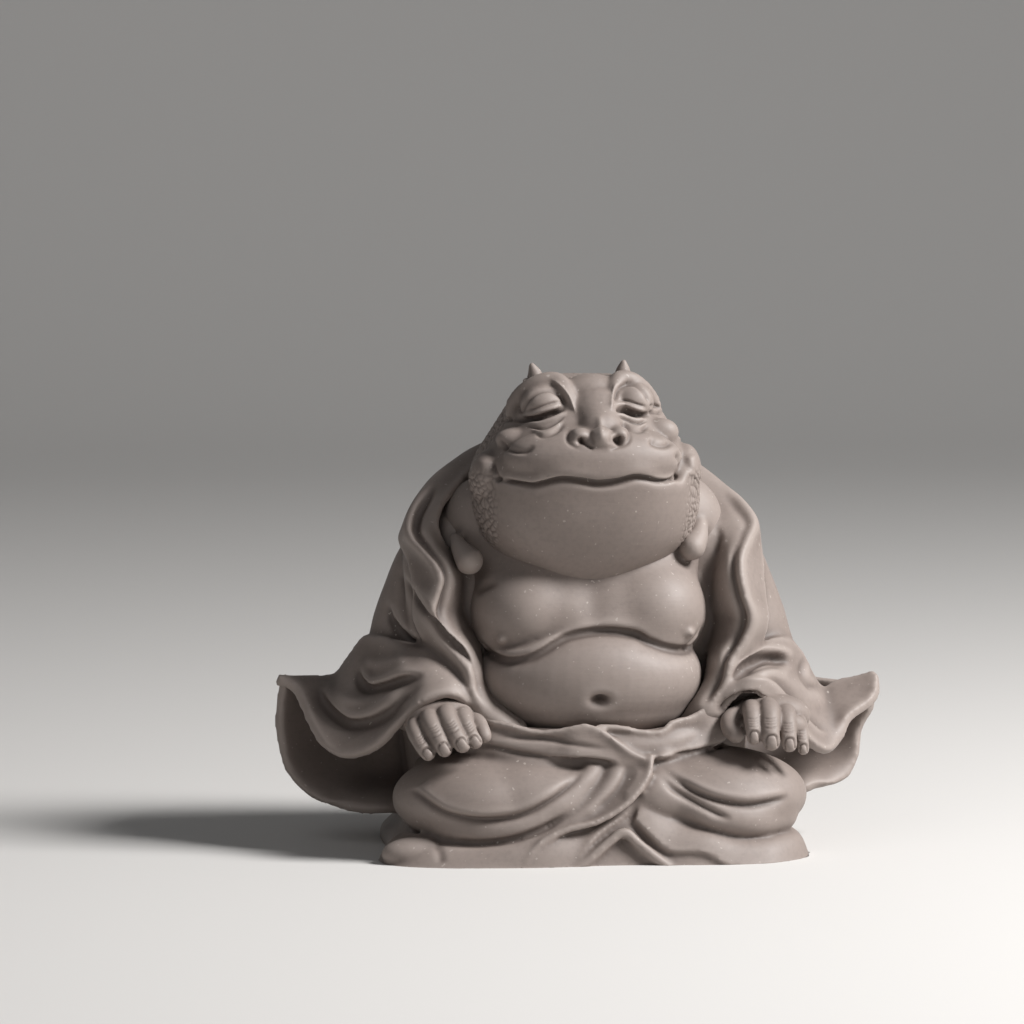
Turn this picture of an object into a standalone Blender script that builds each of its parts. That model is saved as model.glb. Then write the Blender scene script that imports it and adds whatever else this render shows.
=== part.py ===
"""Seated toad in a monk's robe, a small clay figure cast in one piece.

The figure faces -Y and sits on Z = 0. Every size is in millimetres while the clay is shaped, and the
finished mesh is brought to metres once. The clay is built as a modeller works: lumps are pressed together
and smoothed, sheets of cloth are laid on, and folds are then drawn into the skin along short paths.
"""

import math

import bmesh
import bpy
import numpy as np
from mathutils import Euler, Matrix, Vector

# Driving sizes, in millimetres
MM = 0.001
CLAY_VOXEL = 0.6
TRIANGLES = 11800
FACE_FAVOUR = 2.5
BASE_HALF_WIDTH = 41.0
BASE_FRONT = 36.8
BASE_BACK = 36.6
SHOULDER_HALF_WIDTH = 38.2
COLLAR_THICKNESS = 2.2
SLEEVE_THICKNESS = 2.4
SASH_THICKNESS = 1.6
BELLY_CENTRE = (0.3, -13.5, 36.0)
BELLY_RADIUS = 23.2
HEAD_HALF_WIDTH = 23.6
HEAD_TOP = 97.0
HORN_HEIGHT = 3.5
FINGER_RADIUS = 1.75
CENTRING = (0.0, 0.2, 0.0)

CLAY_COLOUR = (0.205, 0.172, 0.158, 1.0)
CLAY_ROUGHNESS = 0.62


# Folds and faces are drawn as seen from a little to the figure's right and a little above
SEEN_TURN = math.radians(-6)
SEEN_RISE = math.radians(5)
SEEN_ACROSS = np.array([math.cos(SEEN_TURN), math.sin(SEEN_TURN), 0])
SEEN_UP = np.array(
    [
        -math.sin(SEEN_RISE) * math.sin(SEEN_TURN),
        math.sin(SEEN_RISE) * math.cos(SEEN_TURN),
        math.cos(SEEN_RISE),
    ]
)


def seen(points):
    """Places given as (across, up, depth): the first two as seen in that view, depth the true Y."""
    across, up, depth = np.moveaxis(np.asarray(points, float), -1, 0)
    x = (across - SEEN_ACROSS[1] * depth) / SEEN_ACROSS[0]
    z = (up - SEEN_UP[0] * x - SEEN_UP[1] * depth) / SEEN_UP[2]
    return np.stack([x, depth, z], axis=-1)


# Smooth curves and sheets through a few points


def smooth_through(points, samples, closed=False):
    """Catmull-Rom curve through points along their first axis, at evenly spaced parameters."""
    points = np.asarray(points, float)
    count = len(points)
    if closed:
        t = np.linspace(0, count, samples, endpoint=False)
        index = np.floor(t).astype(int)
        picks = [(index + k) % count for k in (-1, 0, 1, 2)]
    else:
        t = np.linspace(0, count - 1, samples)
        index = np.minimum(np.floor(t).astype(int), count - 2)
        ends = np.concatenate([[2 * points[0] - points[1]], points, [2 * points[-1] - points[-2]]])
        points = ends
        picks = [index + k for k in (0, 1, 2, 3)]
    f = (t - index).reshape((-1,) + (1,) * (points.ndim - 1))
    a, b, c, d = (points[p] for p in picks)
    return 0.5 * (2 * b + (c - a) * f + (2 * a - 5 * b + 4 * c - d) * f**2 + (3 * b - a - 3 * c + d) * f**3)


def grid_faces(rows, columns, around=False):
    """Quads of a grid of rows by columns points; around also joins the last column to the first."""
    steps = columns if around else columns - 1
    row, column = np.meshgrid(np.arange(rows - 1), np.arange(steps), indexing="ij")
    beside = (column + 1) % columns
    here, above = row * columns, (row + 1) * columns
    corners = (here + column, here + beside, above + beside, above + column)
    return np.stack(corners, axis=-1).reshape(-1, 4).tolist()


def closed_rings(rings):
    """A tube through rings of points, (ring, point, xyz), with both ends drawn to their middles."""
    rings = np.asarray(rings, float)
    count, around = rings.shape[:2]
    points = np.concatenate([rings.reshape(-1, 3), [rings[0].mean(axis=0)], [rings[-1].mean(axis=0)]])
    faces = grid_faces(count, around, around=True)
    first, last = len(points) - 2, len(points) - 1
    for k in range(around):
        beside = (k + 1) % around
        faces.append([first, beside, k])
        faces.append([last, (count - 1) * around + k, (count - 1) * around + beside])
    return points, faces


# Lumps of clay: each function gives a list of closed bodies, as points and faces


def ball(centre, radii, turn=(0, 0, 0)):
    """An egg shape with three radii, turned by angles in degrees."""
    made = bmesh.new()
    matrix = (
        Matrix.Translation(centre)
        @ Euler([math.radians(a) for a in turn]).to_matrix().to_4x4()
        @ Matrix.Diagonal((*radii, 1))
    )
    bmesh.ops.create_uvsphere(made, u_segments=40, v_segments=24, radius=1, matrix=matrix)
    points = np.array([v.co for v in made.verts])
    faces = [[v.index for v in f.verts] for f in made.faces]
    made.free()
    return [(points, faces)]


def rope(path, radii, samples=36):
    """A round-ended tube that swells and thins along a smooth path."""
    reach = smooth_through(path, samples)
    radius = smooth_through(np.asarray(radii, float)[:, None], samples)[:, 0]
    curve = bpy.data.curves.new("rope", "CURVE")
    curve.dimensions = "3D"
    curve.bevel_depth = 1.0
    curve.bevel_resolution = 4
    curve.use_fill_caps = True
    line = curve.splines.new("POLY")
    line.points.add(samples - 1)
    line.points.foreach_set("co", np.column_stack([reach, np.ones(samples)]).ravel())
    line.points.foreach_set("radius", radius)
    tube = points_and_faces(evaluated_copy(in_scene(curve), "rope"))
    return [tube] + ball(reach[0], [radius[0]] * 3) + ball(reach[-1], [radius[-1]] * 3)


def rounded_stack(levels, power, around=72, samples=56):
    """A body of level rings, each (height, half width, front y, back y); power squares the ring."""
    z, half, front, back = smooth_through(levels, samples).T
    angle = np.linspace(0, 2 * math.pi, around, endpoint=False)
    c, s = np.cos(angle), np.sin(angle)
    ring_x = np.sign(c) * np.abs(c) ** (2 / power)
    ring_y = np.sign(s) * np.abs(s) ** (2 / power)
    x = half[:, None] * ring_x
    y = (front + back)[:, None] / 2 + (back - front)[:, None] / 2 * ring_y
    return [closed_rings(np.stack([x, y, np.broadcast_to(z[:, None], x.shape)], axis=-1))]


def cloth(rows, thickness, fine=(40, 48)):
    """A sheet through rows of points, thickened evenly to both sides."""
    control = np.asarray(rows, float)
    middle = smooth_through(smooth_through(control, fine[0]).swapaxes(0, 1), fine[1]).swapaxes(0, 1)
    sheet = bpy.data.meshes.new("sheet")
    sheet.from_pydata(middle.reshape(-1, 3), [], grid_faces(*fine))
    thing = in_scene(sheet)
    thicken = thing.modifiers.new("thicken", "SOLIDIFY")
    thicken.thickness = thickness
    thicken.offset = 0
    return [points_and_faces(evaluated_copy(thing, "cloth"))]


# Pressing lumps together and smoothing the skin


def mesh_of(name, lumps):
    """One mesh that holds every lump, each still closed by itself."""
    points, faces, start = [], [], 0
    for lump_points, lump_faces in lumps:
        points.append(np.asarray(lump_points))
        faces += [[start + k for k in face] for face in lump_faces]
        start += len(lump_points)
    mesh = bpy.data.meshes.new(name)
    mesh.from_pydata(np.concatenate(points), [], faces)
    made = bmesh.new()
    made.from_mesh(mesh)
    bmesh.ops.remove_doubles(made, verts=made.verts, dist=0.0001)
    bmesh.ops.recalc_face_normals(made, faces=made.faces)
    made.to_mesh(mesh)
    made.free()
    return mesh


def evaluated_copy(thing, name):
    """The object's mesh with its modifiers applied; the object itself is removed."""
    graph = bpy.context.evaluated_depsgraph_get()
    mesh = bpy.data.meshes.new_from_object(thing.evaluated_get(graph))
    mesh.name = name
    bpy.data.objects.remove(thing)
    return mesh


def in_scene(data):
    thing = bpy.data.objects.new(data.name, data)
    bpy.context.scene.collection.objects.link(thing)
    return thing


def press(name, lumps, voxel):
    """Fuses lumps into one skin of even squares, a voxel wide."""
    thing = in_scene(mesh_of(name, lumps))
    fuse = thing.modifiers.new("fuse", "REMESH")
    fuse.mode = "VOXEL"
    fuse.voxel_size = voxel
    return Skin(evaluated_copy(thing, name))


def without(body, hollow, name):
    """The body with the hollow's shape cut out of it."""
    thing, cutter = in_scene(mesh_of(name, body)), in_scene(mesh_of("cutter", hollow))
    cut = thing.modifiers.new("cut", "BOOLEAN")
    cut.operation = "DIFFERENCE"
    cut.object = cutter
    mesh = evaluated_copy(thing, name)
    bpy.data.objects.remove(cutter)
    return [points_and_faces(mesh)]


def points_and_faces(mesh):
    points = np.empty(len(mesh.vertices) * 3)
    mesh.vertices.foreach_get("co", points)
    return points.reshape(-1, 3), [list(face.vertices) for face in mesh.polygons]


class Skin:
    """The points of a fused mesh, with what smoothing and drawing need."""

    def __init__(self, mesh):
        self.mesh = mesh
        self.points = np.empty(len(mesh.vertices) * 3)
        mesh.vertices.foreach_get("co", self.points)
        self.points = self.points.reshape(-1, 3)
        edges = np.empty(len(mesh.edges) * 2, int)
        mesh.edges.foreach_get("vertices", edges)
        self.edges = edges.reshape(-1, 2)
        self.count = np.bincount(self.edges.ravel(), minlength=len(self.points))
        self.find_normals()

    def find_normals(self):
        self.write()
        normals = np.empty(len(self.mesh.vertices) * 3)
        self.mesh.vertex_normals.foreach_get("vector", normals)
        self.normals = normals.reshape(-1, 3)

    def write(self):
        self.mesh.vertices.foreach_set("co", self.points.ravel())
        self.mesh.update()

    def relax(self, times):
        """Moves each point half way to the middle of its neighbours, many times."""
        a, b = self.edges.T
        size = len(self.points)
        for _ in range(times):
            middle = np.stack(
                [
                    np.bincount(a, self.points[b, k], size) + np.bincount(b, self.points[a, k], size)
                    for k in range(3)
                ],
                axis=1,
            )
            middle /= self.count[:, None]
            self.points += (middle - self.points) * 0.5
        self.find_normals()
        return self

    def draw(self, path, width, height, kind="groove", fade=0.25, from_behind=False):
        """Raises or sinks the skin along a path of (across, up) points, as seen from the front.

        groove is a soft valley, or a ridge where height is positive. lap lifts the skin on the path's left
        and sinks it on its right, as where one fold lies over another.
        """
        across, up = (SEEN_ACROSS, SEEN_UP)
        if from_behind:
            across, up = np.array([1.0, 0, 0]), np.array([0, 0, 1.0])
        toward = np.cross(across, up) * (-1 if from_behind else 1)
        line = smooth_through(path, max(24, 10 * len(path)))
        flat = self.points @ np.stack([across, up], axis=1)
        reach = 3 * width
        near = np.flatnonzero(
            (flat >= line.min(axis=0) - reach).all(axis=1)
            & (flat <= line.max(axis=0) + reach).all(axis=1)
            & (self.normals @ toward > 0.02)
        )
        if not len(near):
            return
        start, step = line[:-1], np.diff(line, axis=0)
        offset = flat[near][:, None] - start
        length = (step**2).sum(axis=1) + 1e-9
        part = np.clip((offset * step).sum(axis=2) / length, 0, 1)
        gap = offset - part[..., None] * step
        distance = np.sqrt((gap**2).sum(axis=2))
        best = distance.argmin(axis=1)
        each = np.arange(len(near))
        r = distance[each, best]
        t = (best + part[each, best]) / len(step)
        turn = step[best, 0] * offset[each, best, 1] - step[best, 1] * offset[each, best, 0]
        bell = np.exp(-((r / width) ** 2))
        shape = np.tanh(r * np.sign(turn) / 0.5) * bell if kind == "lap" else bell
        ends = np.clip(np.minimum(t, 1 - t) / max(fade, 1e-6), 0, 1)
        ends = ends * ends * (3 - 2 * ends)
        turned = np.clip(self.normals[near] @ toward * 3, 0, 1)
        self.points[near] += self.normals[near] * (height * shape * ends * turned)[:, None]
        self.find_normals()

    def dent(self, centre, radii, height):
        """A round dent, or a bump where height is positive, about a point in space."""
        r = np.linalg.norm((self.points - centre) / radii, axis=1)
        near = r < 2.5
        self.points[near] += self.normals[near] * (height * np.exp(-(r[near] ** 2)))[:, None]

    def lumps(self):
        self.write()
        return [points_and_faces(self.mesh)]


# The robe: a bell of cloth over back and shoulders, hollowed in front, with a rolled collar and sleeves


def robe_bell():
    s = SHOULDER_HALF_WIDTH
    bell = rounded_stack(
        [
            (0, s - 4, -12, 33),
            (10, s - 3, -12, 34),
            (20, s - 2.5, -12, 35),
            (30, s - 1.0, -13, 35),
            (40, s + 0.0, -14, 34),
            (48, s - 0.5, -15, 33),
            (56, s - 1.4, -14, 31.5),
            (62, s - 2.6, -11, 29),
            (68, s - 5.8, -6, 27),
            (73, s - 10.0, 0, 25),
            (78, s - 15.0, 5, 22),
            (82, s - 22, 9, 19.5),
        ],
        power=2.5,
    )
    opening = rounded_stack(
        [
            (22, 12, -70, -14),
            (27, 17, -70, -12),
            (31, 22.0, -70, -8),
            (36, 24.5, -70, -5),
            (44, 26.0, -70, -3),
            (52, 26.8, -70, -2),
            (60, 28.2, -70, 0),
            (66, 29.0, -70, 3),
            (72, 25.5, -70, 7),
            (78, 19.5, -70, 11),
            (84, 14.0, -70, 13),
            (92, 8.0, -70, 13),
        ],
        power=2.8,
    )
    return without(bell, opening, "robe")


def collar():
    """The edge of the robe from waist to waist round the neck. Each row is inside, rim and outside."""
    rows = [
        [(-18.5, 31.0, -17), (-19.9, 29.2, -22.5), (-23.0, 28.4, -20)],
        [(-19.9, 33.3, -16), (-21.3, 31.8, -22), (-25.0, 31.7, -19)],
        [(-20.7, 37.5, -14), (-22.4, 36.4, -21.5), (-26.5, 35.5, -17)],
        [(-21.5, 41.6, -11), (-24.8, 40.2, -20.5), (-28.9, 38.6, -15.5)],
        [(-22.8, 44.7, -9), (-27.5, 43.3, -19.5), (-31.6, 42.2, -14)],
        [(-23.8, 47.8, -8), (-29.6, 47.2, -19), (-33.7, 46.2, -13)],
        [(-24.4, 50.9, -8), (-28.8, 50.9, -19), (-34.0, 50.4, -13)],
        [(-24.8, 55.1, -8), (-27.9, 54.4, -18.5), (-34.1, 54.4, -12)],
        [(-25.9, 58.2, -9), (-29.4, 58.0, -16.5), (-35.0, 58.2, -9)],
        [(-27.5, 60.7, -10), (-32.1, 61.1, -14), (-36.4, 60.7, -6)],
        [(-28.8, 63.8, -10), (-34.4, 63.8, -11), (-36.8, 62.3, -3)],
        [(-28.8, 67.5, -8.5), (-34.2, 67.3, -6.5), (-35.6, 65.0, 0)],
        [(-27.3, 70.6, -6), (-32.3, 71.0, -3), (-33.5, 69.0, 4)],
        [(-24.2, 74.1, -2.5), (-29.6, 74.7, 1), (-30.5, 72.6, 8)],
        [(-21.4, 76.8, 1.5), (-25.9, 77.8, 5), (-26.5, 75.3, 12)],
        [(-17.5, 78.5, 5.5), (-21.0, 81.0, 9.5), (-21.5, 77.5, 16)],
        [(-10.5, 80.5, 9), (-12.5, 84.2, 13.5), (-13.0, 79.5, 19)],
        [(-1.2, 81.5, 11), (-1.4, 85.8, 15.5), (-1.6, 80.5, 21)],
        [(9.0, 80.0, 9), (11.0, 83.6, 13.5), (11.5, 79.0, 19)],
        [(17.0, 77.2, 5.5), (20.0, 79.6, 10.0), (20.5, 76.5, 16)],
        [(21.0, 75.0, 3), (24.8, 76.8, 7), (25.0, 74.0, 14)],
        [(25.0, 71.0, -1), (29.0, 73.3, 3), (29.8, 71.0, 10)],
        [(27.5, 67.6, -4), (32.3, 70.2, -1), (33.4, 68.0, 6)],
        [(29.0, 64.6, -8), (35.0, 66.2, -6), (36.2, 63.5, 0)],
        [(29.0, 61.3, -10), (33.7, 62.8, -11), (36.6, 61.5, -5)],
        [(28.6, 58.2, -10), (32.1, 59.2, -15), (37.0, 58.2, -8)],
        [(27.9, 54.0, -10), (31.9, 55.1, -17.5), (37.2, 54.0, -10.5)],
        [(26.9, 49.9, -9), (32.7, 50.5, -18.5), (37.6, 49.9, -12)],
        [(26.7, 45.7, -8), (34.2, 46.2, -18.5), (38.0, 45.8, -13)],
        [(26.7, 41.6, -9), (32.5, 42.0, -19), (36.4, 40.8, -14)],
        [(26.5, 37.5, -12), (29.6, 38.5, -20), (33.8, 37.0, -15)],
        [(25.9, 34.4, -14), (29.2, 35.0, -21), (32.8, 33.6, -17)],
        [(24.8, 31.3, -17), (28.2, 31.3, -22), (31.4, 30.0, -19)],
        [(23.2, 28.6, -18), (26.1, 27.9, -22.5), (28.6, 26.0, -20)],
    ]
    return cloth(seen(rows), COLLAR_THICKNESS, fine=(220, 12))


def arm(side):
    """Upper arm and forearm under the sleeve, from shoulder to knee."""
    path = [
        (side * 24, 0, 61),
        (side * 27, 1, 56),
        (side * 30, 1, 49),
        (side * 33, 0, 42),
        (side * 35.5, -3, 36.5),
        (side * 35, -10, 32),
        (side * 32.5, -17, 30),
    ]
    return rope(path, [10.5, 11.5, 11.5, 11, 9.5, 8, 5.5])


def left_sleeve():
    front = [
        [
            (-62.6, 34.0, 0.5), (-56.7, 34.0, 2.5), (-52.8, 33.9, 3.5), (-49.8, 34.8, 2.5),
            (-47.0, 38.5, 1), (-44.0, 42.5, -1), (-40.4, 42.6, -7), (-36.2, 41.6, -11),
            (-31.0, 40.5, -14), (-26.9, 37.4, -17), (-23.2, 34.0, -18),
        ],
        [
            (-62.6, 33.8, 0), (-57.2, 32.6, 0.5), (-53.6, 31.0, -0.5), (-50.4, 30.2, -3),
            (-47.2, 32.0, -6.5), (-43.1, 33.0, -9), (-38.9, 34.2, -13), (-34.8, 35.6, -17),
            (-31.0, 35.6, -19.5), (-26.5, 34.4, -20.5), (-22.8, 31.6, -20.5),
        ],
        [
            (-62.5, 33.5, -0.5), (-58.2, 32.0, -1), (-54.6, 27.2, -4), (-51.4, 25.2, -7),
            (-47.6, 25.0, -10), (-43.1, 26.2, -12.5), (-39.3, 28.2, -15.5), (-35.8, 30.4, -19),
            (-32.0, 32.0, -22), (-26.4, 32.4, -23), (-22.6, 29.8, -21.5),
        ],
        [
            (-62.4, 33.2, -1), (-58.8, 31.6, -2), (-54.9, 23.6, -8), (-52.4, 19.9, -11),
            (-48.6, 18.0, -14), (-44.5, 18.6, -17), (-41.0, 20.5, -19.5), (-37.3, 24.6, -22),
            (-32.2, 29.0, -24.5), (-26.9, 30.6, -24.5), (-22.6, 28.2, -22.5),
        ],
    ]
    back = [
        [(-61.5, 33.4, 2.5), (-54.5, 34, 8), (-46.5, 35, 12), (-39, 36, 13), (-31, 36, 14)],
        [(-62.3, 27.5, 3.5), (-54.5, 27, 10), (-46.5, 27, 13), (-39, 27, 13), (-31, 27, 14)],
        [(-62.2, 21.7, 3.5), (-54.5, 19, 9), (-46.5, 19, 11), (-39, 19, 11), (-31, 19, 12)],
        [(-60.6, 15.0, 3.0), (-53, 13.6, 6), (-46, 13, 7), (-39, 13, 7), (-31, 13, 9)],
        [(-56.6, 10.0, 2.0), (-51, 9.3, 1), (-45.6, 9, -1), (-39, 9.6, -1), (-31, 9, 2)],
        [(-52.6, 8.2, 0.0), (-48.5, 7.2, -2.5), (-44.0, 6.5, -4.5), (-39, 6.6, -5), (-31, 6, -2)],
    ]
    return cloth(seen(front), SLEEVE_THICKNESS, (70, 150)) + cloth(seen(back), SLEEVE_THICKNESS)


def right_sleeve():
    front = [
        [
            (61.2, 35.0, 2), (58.2, 33.9, 3), (53.8, 32.9, 4), (50.2, 31.2, 3), (47.2, 35.0, 1),
            (45.0, 39.5, -1), (41.8, 42.0, -7), (38.2, 41.5, -11), (34.0, 40.0, -14), (30.5, 37.5, -17),
            (27.6, 34.0, -19),
        ],
        [
            (62.0, 34.2, 1), (58.8, 32.0, 1), (54.6, 29.6, 0), (50.8, 27.6, -2.5), (47.6, 29.6, -6),
            (45.0, 32.0, -9), (41.8, 34.0, -13), (38.4, 35.6, -17), (34.6, 36.0, -19.5),
            (31.0, 34.6, -20.5), (28.2, 32.0, -20.5),
        ],
        [
            (62.2, 32.6, 0), (59.4, 30.0, -1), (55.4, 27.0, -4), (52.2, 23.8, -7), (49.2, 23.6, -10),
            (46.2, 25.6, -13), (42.8, 28.6, -16.5), (39.2, 31.4, -20.5), (35.2, 32.6, -23),
            (31.2, 31.6, -23), (28.2, 29.0, -22),
        ],
        [
            (61.9, 30.8, -2), (60.0, 28.2, -4), (55.4, 25.2, -7.5), (52.8, 19.9, -11),
            (50.3, 18.6, -14), (47.2, 20.3, -17), (44.5, 23.2, -19.5), (40.8, 28.0, -23),
            (35.2, 31.0, -25), (31.0, 30.0, -24.5), (28.0, 26.4, -23),
        ],
    ]
    back = [
        [(61.2, 32.0, 2.5), (54.5, 33, 8), (46.5, 34, 12), (39, 35, 13), (31, 36, 14)],
        [(61.0, 27.6, 3.0), (53.8, 27, 9), (46.5, 26, 13), (39, 26, 13), (31, 27, 14)],
        [(58.6, 22.6, 4.5), (52.8, 21, 8), (46.5, 20, 11), (39, 19, 12), (31, 19, 12)],
        [(58.2, 17.6, 4.0), (52.4, 16, 5), (46.5, 15, 6), (39, 14, 8), (31, 13, 9)],
        [(55.8, 13.0, 2.5), (51.0, 12.2, 0), (46.5, 11.8, -2), (39, 11, 0), (31, 9, 2)],
        [(52.6, 11.4, 0.0), (49.0, 11.2, -2.5), (46.0, 10.2, -4.5), (39, 8.6, -5), (31, 6, -2)],
    ]
    return cloth(seen(front), SLEEVE_THICKNESS, (70, 150)) + cloth(seen(back), SLEEVE_THICKNESS)


ROBE_FOLDS = [
    # left shoulder, from the neck to the hand
    (
        [
            (-37.9, 57.0), (-34.2, 52.0), (-31.0, 47.4), (-27.9, 43.2), (-23.8, 39.1), (-21.7, 35.4),
        ],
        2.0, 1.1,
    ),
    ([(-39.6, 50.4), (-38.3, 45.7), (-35.2, 42.6), (-31.0, 41.2)], 1.9, 1.0),
    (
        [
            (-45.8, 37.6), (-45.1, 34.0), (-43.1, 32.1), (-39.3, 32.9), (-35.8, 34.4), (-31.4, 35.6),
        ],
        2.4, 1.4,
    ),
    (
        [
            (-53.8, 33.6), (-52.8, 30.2), (-50.3, 27.1), (-47.2, 25.3), (-43.1, 25.7), (-39.3, 27.7),
            (-36.2, 30.8), (-31.6, 34.2),
        ],
        2.2, 1.2,
    ),
    # right shoulder
    ([(38.7, 53.0), (38.3, 47.8), (36.2, 44.7), (34.0, 42.6)], 1.8, 1.0),
    ([(29.6, 33.4), (33.1, 37.0), (36.6, 39.1), (41.4, 38.6), (44.0, 37.0)], 2.2, 1.5),
    ([(46.8, 38.6), (46.2, 35.4), (47.2, 33.0), (49.0, 31.6)], 1.4, 0.9),
]
# one fold down the back: its place across at the waist, and how far it leans out towards the hem
BACK_FOLDS = [(-27, -5), (-18, -2), (-8.5, -1), (2, 1), (11.5, 2), (21, 4), (29, 6)]


def robe():
    lumps = robe_bell() + collar() + arm(-1) + arm(1) + left_sleeve() + right_sleeve()
    skin = press("robe", lumps, CLAY_VOXEL).relax(3)
    for path, width, height in ROBE_FOLDS:
        skin.draw(path, width, height, "lap", fade=0.3)
        skin.draw([(u, v - 0.5) for u, v in path], 0.4 * width, -height, fade=0.3)
    skin.draw([(30.4, 33.4), (34.0, 36.2), (38.6, 37.4), (42.6, 37.0)], 1.0, -1.8)
    for x, lean in BACK_FOLDS:
        path = [
            (x * 0.5, 76),
            (x * 0.72, 62),
            (x * 0.9 + lean * 0.4, 42),
            (x + lean, 20),
            (x + lean * 1.3, 4),
        ]
        skin.draw(path, 2.4, -1.1, from_behind=True)
    return skin.relax(1).lumps()


# The body


def torso():
    """Upper chest, neck rolls and two soft breasts, smoothed into each other over a round belly."""
    lumps = ball((0, -1, 58), (26, 19.5, 15)) + ball((0, 6, 40), (26, 20, 26))
    lumps += ball((0.3, -7.5, 52.5), (22, 13.0, 12)) + ball((0.5, -11.5, 47.5), (18, 13.4, 10.5))
    for side in (-1, 1):
        lumps += ball((side * 12.6 + 0.3, -11.6, 49.0), (12.2, 13.4, 11.6), (0, side * 8, 0))
        lumps += ball((side * 20.0, -3.0, 66.0), (9.8, 9.0, 11.0))
    skin = press("chest", lumps, CLAY_VOXEL).relax(60)
    skin.dent((0.4, -25.5, 52.0), (3.4, 9, 8.0), -1.1)
    left_drop = seen([(-26.2, 65.6, -9.0), (-25.4, 62.4, -12.2), (-23.6, 58.8, -15.2)])
    right_drop = seen([(24.6, 67.4, -9.0), (24.2, 63.4, -12.4), (23.0, 60.6, -14.6)])
    drops = rope(left_drop, [1.5, 2.2, 2.9]) + rope(right_drop, [1.5, 2.4, 2.8])
    return skin.lumps() + drops + ball(BELLY_CENTRE, (BELLY_RADIUS, 16.8, 13.4))


def head():
    """A broad, wide-mouthed toad's head that looks up a little."""
    w = HEAD_HALF_WIDTH
    lumps = rounded_stack(
        [
            (52.0, 3.5, -14.5, 4),
            (55.0, 9.4, -19.0, 8),
            (58.4, 14.8, -22.0, 10),
            (61.5, 19.0, -24.2, 12),
            (65.0, w - 1.7, -26.0, 14),
            (69.0, w - 0.4, -27.4, 16),
            (73.0, w, -28.2, 18),
            (77.0, w - 0.4, -28.8, 19),
            (80.5, w - 1.8, -28.4, 18.5),
            (84.0, w - 4.0, -26.2, 17),
            (88.0, w - 6.6, -22.2, 14.5),
            (92.0, w - 9.2, -17.8, 11),
            (95.0, w - 12.6, -13.6, 7),
            (HEAD_TOP, w - 17.0, -9.0, 1),
        ],
        power=2.5,
    )
    lumps += ball((0.2, -20.4, 80.8), (18.4, 9.3, 7.4))
    bridge = [(2.6, 90.2, -13.4), (2.9, 88.4, -16.6), (3.4, 86.0, -21.4), (3.9, 83.8, -24.8)]
    lumps += rope(seen(bridge), [3.0, 3.3, 3.2, 3.2])
    # tip and wings of the nose, the two eyeballs, the cheeks under them and the jowls
    for place, radii in (
        ((4.0, 82.7, -27.4), (2.7, 2.9, 2.4)),
        ((-0.8, 83.3, -26.2), (2.3, 3.0, 2.1)),
        ((8.1, 83.7, -25.6), (2.1, 3.0, 2.1)),
        ((-7.6, 89.9, -14.6), (5.0, 4.8, 4.3)),
        ((10.5, 90.6, -14.2), (4.5, 4.8, 4.2)),
        ((-13.3, 82.9, -17.2), (3.9, 3.2, 3.0)),
        ((16.3, 84.4, -16.4), (3.7, 3.2, 2.9)),
        ((-19.0, 75.2, -13.6), (3.8, 6.0, 5.4)),
        ((21.2, 76.8, -13.0), (3.4, 6.0, 5.4)),
    ):
        lumps += ball(seen([place])[0], radii)
    left_brow = [
        (-1.6, 88.8, -17.8), (-2.8, 92.0, -16.0), (-4.9, 94.6, -13.8), (-8.4, 94.4, -13.2),
        (-11.6, 92.6, -12.2), (-13.6, 90.4, -11.2), (-14.4, 88.2, -11.2),
    ]
    right_brow = [
        (6.4, 89.6, -17.8), (6.8, 92.4, -16.0), (7.7, 95.0, -13.8), (10.2, 95.0, -13.0),
        (12.6, 93.4, -12.0), (14.5, 91.2, -10.8), (15.6, 89.2, -10.6),
    ]
    lumps += rope(seen(left_brow), [1.3, 1.8, 2.0, 1.9, 1.8, 1.6, 1.2])
    lumps += rope(seen(right_brow), [1.3, 1.7, 1.9, 1.8, 1.7, 1.5, 1.1])
    horn = [(-9.0, 94.4, -7.0), (-9.5, 96.6, -7.2), (-10.0, 94.4 + HORN_HEIGHT, -7.4)]
    lumps += rope(seen(horn), [2.0, 1.5, 0.8])
    lumps += rope(seen([(-11.0, 93.0, -7.0), (-11.4, 94.6, -7.2)]), [1.3, 0.8])
    horn = [(8.6, 95.2, -7.0), (8.7, 97.4, -7.2), (8.8, 95.2 + HORN_HEIGHT, -7.4)]
    lumps += rope(seen(horn), [2.0, 1.5, 0.8])
    return press("head", lumps, CLAY_VOXEL * 0.8).relax(4).lumps()


MOUTH = [
    (-16.4, 74.7), (-13.5, 74.1), (-10.1, 73.5), (-7.7, 73.9), (-4.3, 74.7), (-1.0, 74.5), (3.1, 73.9),
    (7.2, 74.3), (10.6, 75.1), (13.0, 74.9), (15.5, 74.3), (18.0, 74.5), (19.6, 75.8),
]
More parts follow.
